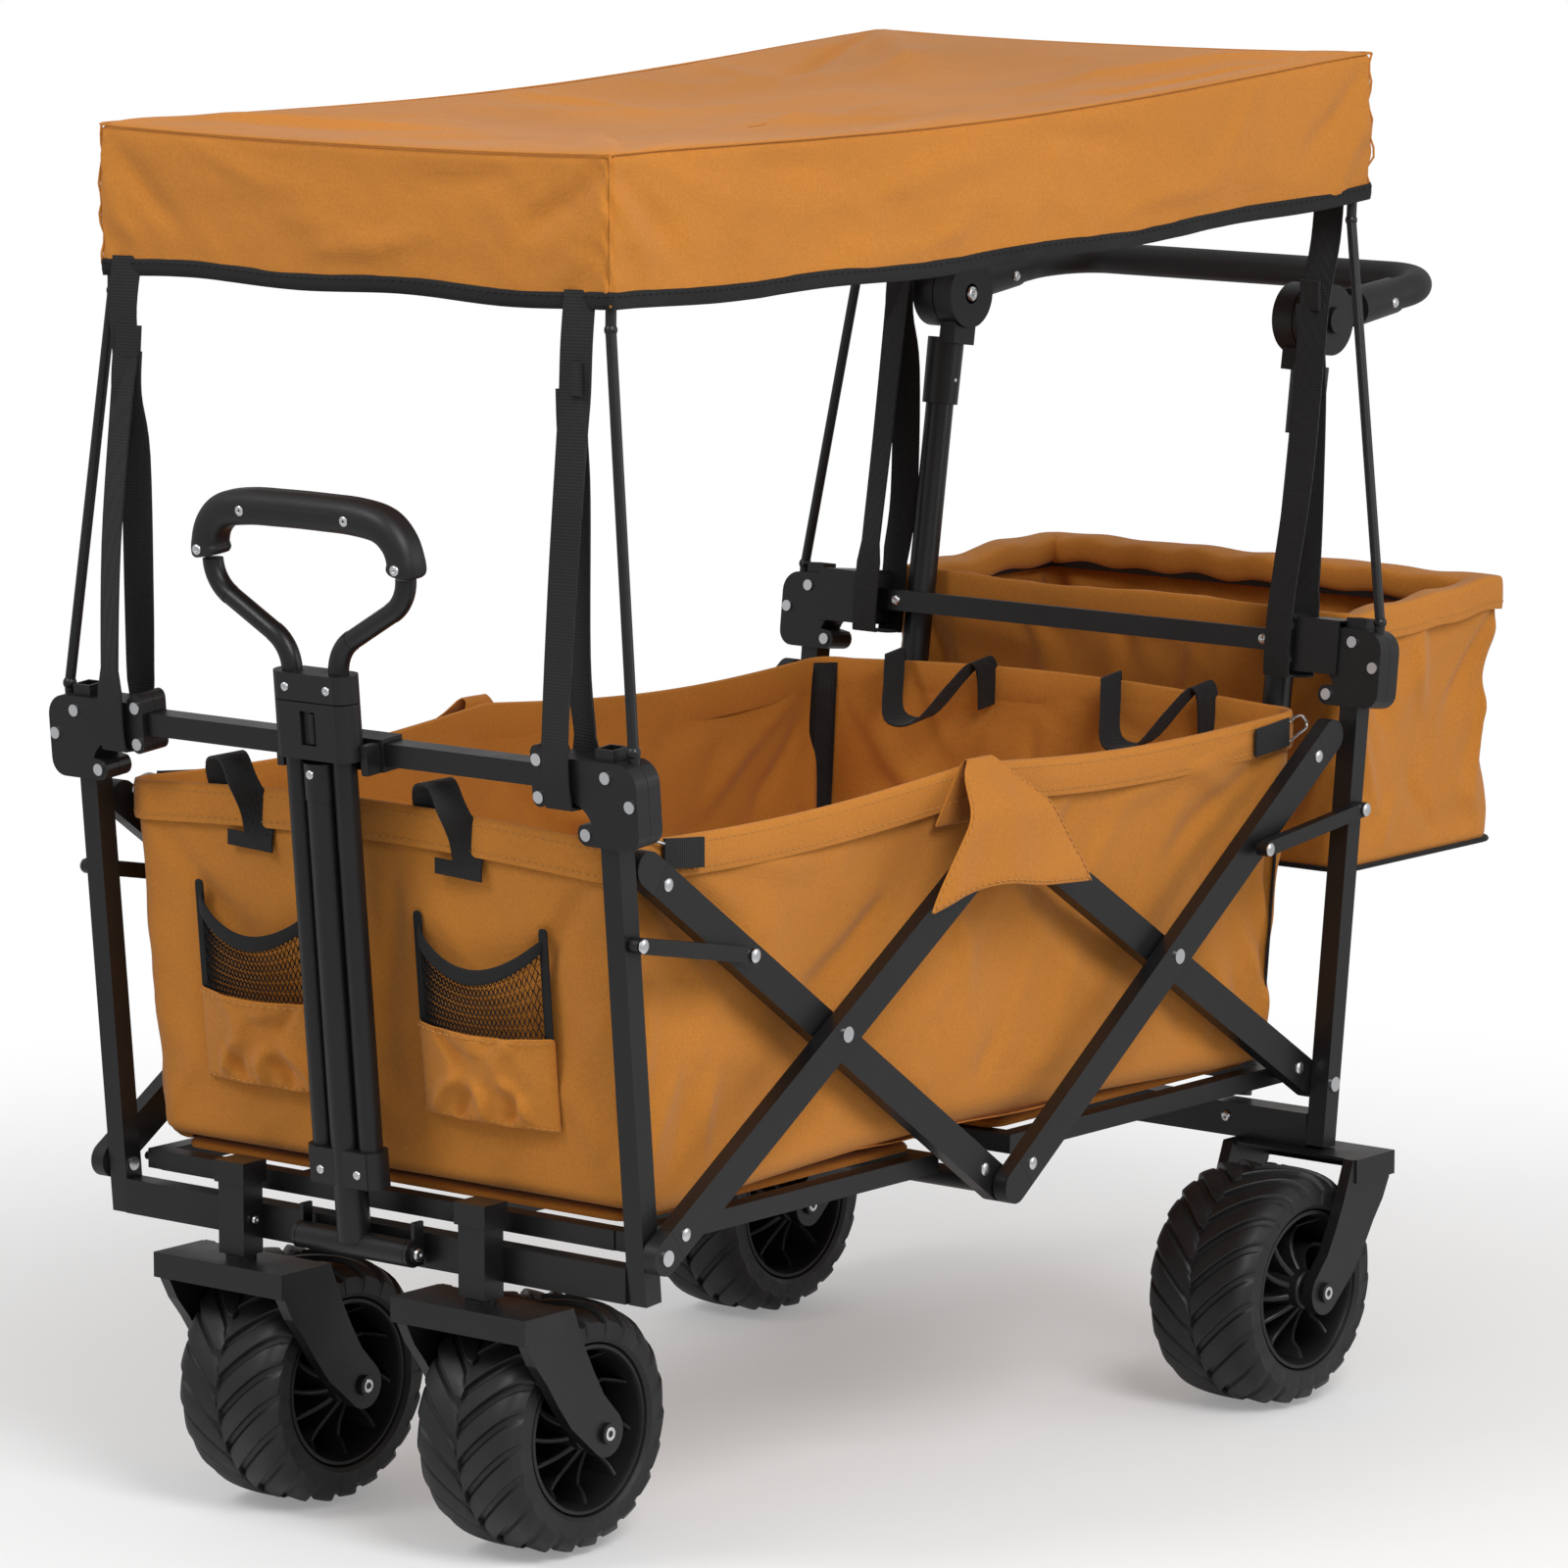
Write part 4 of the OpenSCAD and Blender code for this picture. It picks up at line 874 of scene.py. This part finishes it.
def basket():
    top_path = rounded_path(224.5, 467.5, 684, 16, 40, 66, 6)
    low_path = rounded_path(217, 471, 680, 20, 40, 66, 6)
    rows = []
    n = 26
    for j in range(n + 1):
        s = j / n
        row = []
        for (x0, y0, nx, ny), (x1, y1, _, _) in zip(top_path, low_path):
            back = smoothstep(470, 670, y0)
            zt = 577 + 9 * back + 3.0 * noise.noise(Vector((x0, y0, 3)) / 45)
            if ny < -0.7:
                zt = 579 + 1.5 * sin(x0 / 40)
            z = mix(zt, 382, s)
            x, y = mix(x0, x1, s), mix(y0, y1, s)
            out = -4.5 * sin(pi * s) + crease((x, y, z * 0.9), (0.9, 0.9, 0.8), 7.0, 3.9, 4)
            out += crease((x + z, y - z, z), (1.4, 1.4, 0.5), 3.0, 1.3, 4)
            out += folds(x, z, BASKET_END) if abs(ny) > 0.7 else folds(y, z, BASKET_SIDE)
            out = min((out - 2) * sin(pi * min(1, s * 1.04)) ** 0.5, 2.6)
            row.append((x + nx * out, y + ny * out, z))
        rows.append(row)
    base = [[(x * k, 575.5 + (y - 575.5) * k, 378.5) for x, y, _ in rows[n]] for k in (0.985, 0.6, 0.05)]
    o = piece("basket_cloth", *grid(rows + base, close_u=True, flip=True), CLOTH, "rear_frame", solid=1.3,
              sub=1)
    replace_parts(o, "rear_basket")
    top = rows[0]
    hem = []
    for dz, off in ((-24, 1.2), (-21, 2.0), (-3, 2.0), (1.4, 1.0), (2.2, -1.5), (0.4, -20), (-3, -22.4),
                    (-15, -22.8), (-22, -20), (-24, -4)):
        row = []
        for (x, y, z), q in zip(top, top_path):
            inner = 1 if q[3] > -0.7 else 0.25
            w = off if off > -2 else off * inner
            row.append((x + q[2] * w, y + q[3] * w, z + dz + (1.6 * sin(x / 9 + y / 13) if off < -4 else 0)))
        hem.append(row)
    h = piece("basket_hem", *grid(hem, close_u=True), CLOTH, "rear_frame", sub=1)
    lines = [[Vector((x + q[2] * 2.1, y + q[3] * 2.1, z - 18)) for (x, y, z), q in zip(top, top_path)]]
    st = stitches("basket_stitches", lines, "rear_frame")
    trim = piece("basket_trim", *tube([(x * 1.003, y, z - 1.4) for x, y, z in rows[n]], 3.0, sides=8,
                                      close=True, flat=0.7),
                 BINDING, "rear_frame")


# ---- wheels
WHEELS = {"front_left": (-112.5, -345.5), "front_right": (112.5, -345.5),
          "rear_left": (-247, 325.5), "rear_right": (247, 325.5)}
WHEEL_R = 90
LUGS = 22
LUG_STEPS = ((0.0, 0.05), (0.02, 0.85), (0.05, 1.0), (0.2, 0.92), (0.38, 0.78), (0.56, 0.64), (0.7, 0.52),
             (0.76, 0.2), (0.82, 0.0), (0.92, 0.0))


def tyre(name, x0, y0, body):
    """Balloon tyre with chevron lugs, each a sharp step and then a long ramp. The net runs along the lugs."""
    pitch = 2 * pi / LUGS
    shoulder = [(0.985, None), (1.0, 73.5), (1.004, 69), (0.99, 64.5), (0.945, 61.6), (0.87, 60.2)]
    across = [(u, None) for u in (0.006, 0.05, 0.12, 0.2, 0.29, 0.38, 0.47, 0.56, 0.65, 0.74, 0.82, 0.89,
                                  0.945)] + shoulder
    net = []
    for k in range(LUGS):
        for n, (f, high) in enumerate(LUG_STEPS):
            other = LUG_STEPS[(n + 5) % len(LUG_STEPS)]
            shift = other[0] - f - 0.5 + (1 if other[0] < f else 0)
            row = []
            for s in (-1, 1):
                side = []
                for t, r in across:
                    lug = (other[1] if s < 0 else high) * (1 - 0.5 * smoothstep(0.86, 1.0, t))
                    blend = smoothstep(0.0, 0.16, t) if s < 0 else 0
                    a = (k + f + blend * shift) * pitch + 1.75 * pitch * min(t, 1) ** 0.92
                    if r is None:
                        r = WHEEL_R - 3.0 * t ** 2 - 9.5 * t ** 7 - 4.2 * (1 - lug)
                    elif r > 68:
                        t *= 1 - 0.03 * (1 - lug)
                    side.append((x0 + s * 47 * t, y0 + r * sin(a), WHEEL_R + r * cos(a)))
                row += side[::-1] if s < 0 else side
            net.append(row)
    o = piece(f"{name}_tread", *grid(net, close_v=True, close_u=True, flip=True), RUBBER, body, auto=32)
    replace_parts(o, name)


def hub(name, x0, y0, body):
    """Deep-dished moulded rim: lipped barrel, ribbed boss and swept twin-face spokes."""
    at = (x0, y0, WHEEL_R)
    parts = [lathe([(60.0, -41), (59.6, -43.5), (57.2, -44), (55.6, -41), (54.6, -14), (53.6, 0), (54.6, 14),
                    (55.6, 41),
                    (57.2, 44), (59.6, 43.5), (60.0, 41)], at, n=72),
             lathe([(5.3, -44.5), (13.2, -44.5), (14.6, -43), (15.2, -34), (18.5, -12), (19, 0), (18.5, 12),
                    (15.2, 34),
                    (14.6, 43), (13.2, 44.5), (5.3, 44.5)], at, n=40),
             lathe([(18, -1.4), (54.5, -1.4), (54.5, 1.4), (18, 1.4)], at, n=72)]
    for face in (-1, 1):
        for k in range(10):
            rows = []
            for j in range(9):
                s = j / 8
                r = mix(14, 56, s)
                sweep = 2 * pi * k / 10 + face * 0.52 * s ** 1.3
                half = mix(2.4, 1.7, s) / r
                deep = mix(38, 22, sin(pi * 0.5 * min(1, s * 1.3))) + 14 * smoothstep(0.7, 1.0, s)
                row = []
                for da, xx in ((-half, 1), (-half, deep - 1.2), (-half * 0.5, deep), (half * 0.5, deep),
                               (half, deep - 1.2), (half, 1)):
                    a = sweep + da
                    row.append((x0 + face * xx, y0 + r * sin(a), WHEEL_R + r * cos(a)))
                rows.append(row)
            parts.append(grid(rows, flip=face > 0))
    o = piece(f"{name}_rim", *join(parts), PLASTIC, body, auto=35)
    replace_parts(o, name)


def wheels():
    for name, (x, y) in WHEELS.items():
        tyre(f"tyre_{name}", x, y, f"wheel_{name}")
        hub(f"hub_{name}", x, y, f"wheel_{name}")


def axle_bolts():
    """Round heads with a washer at both ends of each axle."""
    profile = ((7.4, 0), (7.4, 0.8), (6.0, 1.0), (5.8, 2.2), (4.6, 2.9), (2.6, 2.9), (0.1, 1.4))
    for name, (x, y) in WHEELS.items():
        side = name.removeprefix("front_")
        body = "rear_frame" if side == name else f"caster_{side}"
        parts = [lathe([(r, s * rise) for r, rise in profile], (x + s * 60.6, y, WHEEL_R), n=24)
                 for s in (-1, 1)]
        piece(f"axle_bolts_{side}", *join(parts), ZINC, body, auto=40)


# ---- pull handle
def pull_grip():
    """Moulded D grip in two halves, with a parting line, dotted palm rest and recessed screws."""
    line = bez([(89, -2, 482), (90, -2, 492), (85, -2, 505), (72, -2, 515.5), (48, -2, 519.5),
                (20, -2, 520.2), (0, -2, 520.4)], 7)
    line += [Vector((-p.x, p.y, p.z)) for p in line[-2::-1]]
    rows, n = [], 28
    total = len(line) - 1
    for i, p in enumerate(line):
        d = (line[min(i + 1, total)] - line[max(i - 1, 0)]).normalized()
        side = Vector((0, 1, 0))
        other = d.cross(side)
        s = abs(i / total * 2 - 1)
        r = mix(14.2, 13.0, smoothstep(0.35, 0.75, s)) - 1.6 * smoothstep(0.93, 1.0, s)
        r += 0.8 * smoothstep(0.8, 0.92, s) * (1 - smoothstep(0.93, 1, s))
        row = []
        for k in range(n):
            a = 2 * pi * k / n
            c, e = cos(a), sin(a)
            sq = (abs(c) ** 2.6 + abs(e) ** 2.6) ** (-1 / 2.6)
            seam = 0.97 if k in (n // 4, 3 * n // 4) else 1
            row.append(H(*(p + r * sq * seam * (c * side + 0.9 * e * other))))
        rows.append(row)
    v, f = grid(rows, close_u=True)
    f += [tuple(range(n))[::-1], tuple(range(total * n, (total + 1) * n))]
    o = piece("pull_grip", v, f, PLASTIC, "handle_slide", sub=1)
    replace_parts(o, "handle_grip")
    dots = []
    for i in range(-8, 9):
        for j in range(4):
            x = i * 4.2 + (2.1 if j % 2 else 0)
            a = radians(8 + j * 15)
            c = Vector(H(x, -2 - 14.0 * cos(a), 520 + 12.6 * sin(a)))
            nrm = Vector(H(0, -cos(a), sin(a))) - Vector(H(0, 0, 0))
            dots.append(screw_head(c, nrm, 1.2, 0.5))
    piece("grip_dots", *join(dots), PLASTIC, "handle_slide")
    parts = []
    for x, z in ((48, 519.5), (91, 489)):
        for sx in (-1, 1):
            parts.append(screw_head(H(sx * x, -15.4, z - 1), Vector(H(0, -1, 0)) - Vector(H(0, 0, 0)), 3.8,
                                    1.4))
            parts.append(screw_head(H(sx * x, 11.4, z - 1), Vector(H(0, 1, 0)) - Vector(H(0, 0, 0)), 3.8,
                                    1.4))
    for x, z in ((-17, 55), (17, 55), (-19, 398), (19, 398), (0, 338)):
        parts.append(screw_head(H(x, -13.4 if z != 338 else -14.7, z),
                                Vector(H(0, -1, 0)) - Vector(H(0, 0, 0)), 3.3, 1.5))
    piece("handle_screws", *join(parts), ZINC, "handle_slide")


def bar_rivets():
    """Rivets at the ends of the side bars and links: (body, outer face, y, z)."""
    spots = (("front_cross", 250, -371, 486), ("front_cross", 250, -19, 233), ("rear_cross", 264, 19, 233),
             ("rear_cross", 264, 371, 486),
             ("rising_bars", 264, -370, 247), ("falling_bars", 250, 370, 247), ("rising_bars", 264, -18, 472),
             ("falling_bars", 250, 18, 472))
    by_body = {}
    for body, x, y, z in spots:
        by_body.setdefault(body, []).extend(rivet_head((sx * (x + 0.2), y, z), sx, 4.6) for sx in (-1, 1))
    for body, at, end, x in (("front_links", F(0, 0, 217), (0, -290, 427.2), 260),
                             ("rear_links", R(0, 0, 209), (0, 290, 427.2), 278)):
        by_body[body] = [rivet_head((sx * x, q[1], q[2]), sx, 4.9) for sx in (-1, 1) for q in (at, end)]
    for body, parts in by_body.items():
        piece(f"{body}_rivet_heads", *join(parts), ZINC, body, auto=40)


def push_screws():
    """Screws that show on the push handle and on the rear and front frames."""
    parts = []
    for sx in (-1, 1):
        parts.append(screw_head((sx * 153.9, 487.1, 800), (-sx, 0, 0), 6, 2))
        parts.append(screw_head((sx * 164, 475.5, 732), (0, -1, 0.15), 3.6, 1.6))
    piece("push_tube_screws", *join(parts), ZINC, "rear_frame")
    arm = [screw_head((sx * 167.4, 563, 808), (-sx, 0, 0), 3.8, 1.6) for sx in (-1, 1)]
    arm += [screw_head((sx * 196.6, 563, 808), (sx, 0, 0), 3.8, 1.6) for sx in (-1, 1)]
    piece("push_arm_screws", *join(arm), ZINC, "push_handle")
    rear = [screw_head(R(sx * 177, -8.1, 329), (0, -1, 0.1), 4.2, 1.8) for sx in (-1, 1)]
    rear += [screw_head((sx * 177, 377.8, 200), (0, -1, 0), 4.2, 1.8) for sx in (-1, 1)]
    piece("rear_frame_bolts", *join(rear), ZINC, "rear_frame")
    front = [screw_head((sx * 57.4, -410.5, 211), (sx, 0, 0), 4.6, 1.8) for sx in (-1, 1)]
    front += [screw_head((sx * 98.4, -408, 214), (-sx, 0, 0), 3.2, 1.4) for sx in (-1, 1)]
    piece("front_frame_bolts", *join(front), ZINC, "front_frame")


# ---- everything
studio()
dress_frame()
canopy()
tub()
floor_boards()
side_flaps()
front_pockets()
webbing_bits()
canopy_straps()
basket()
wheels()
axle_bolts()
pull_grip()
bar_rivets()
push_screws()
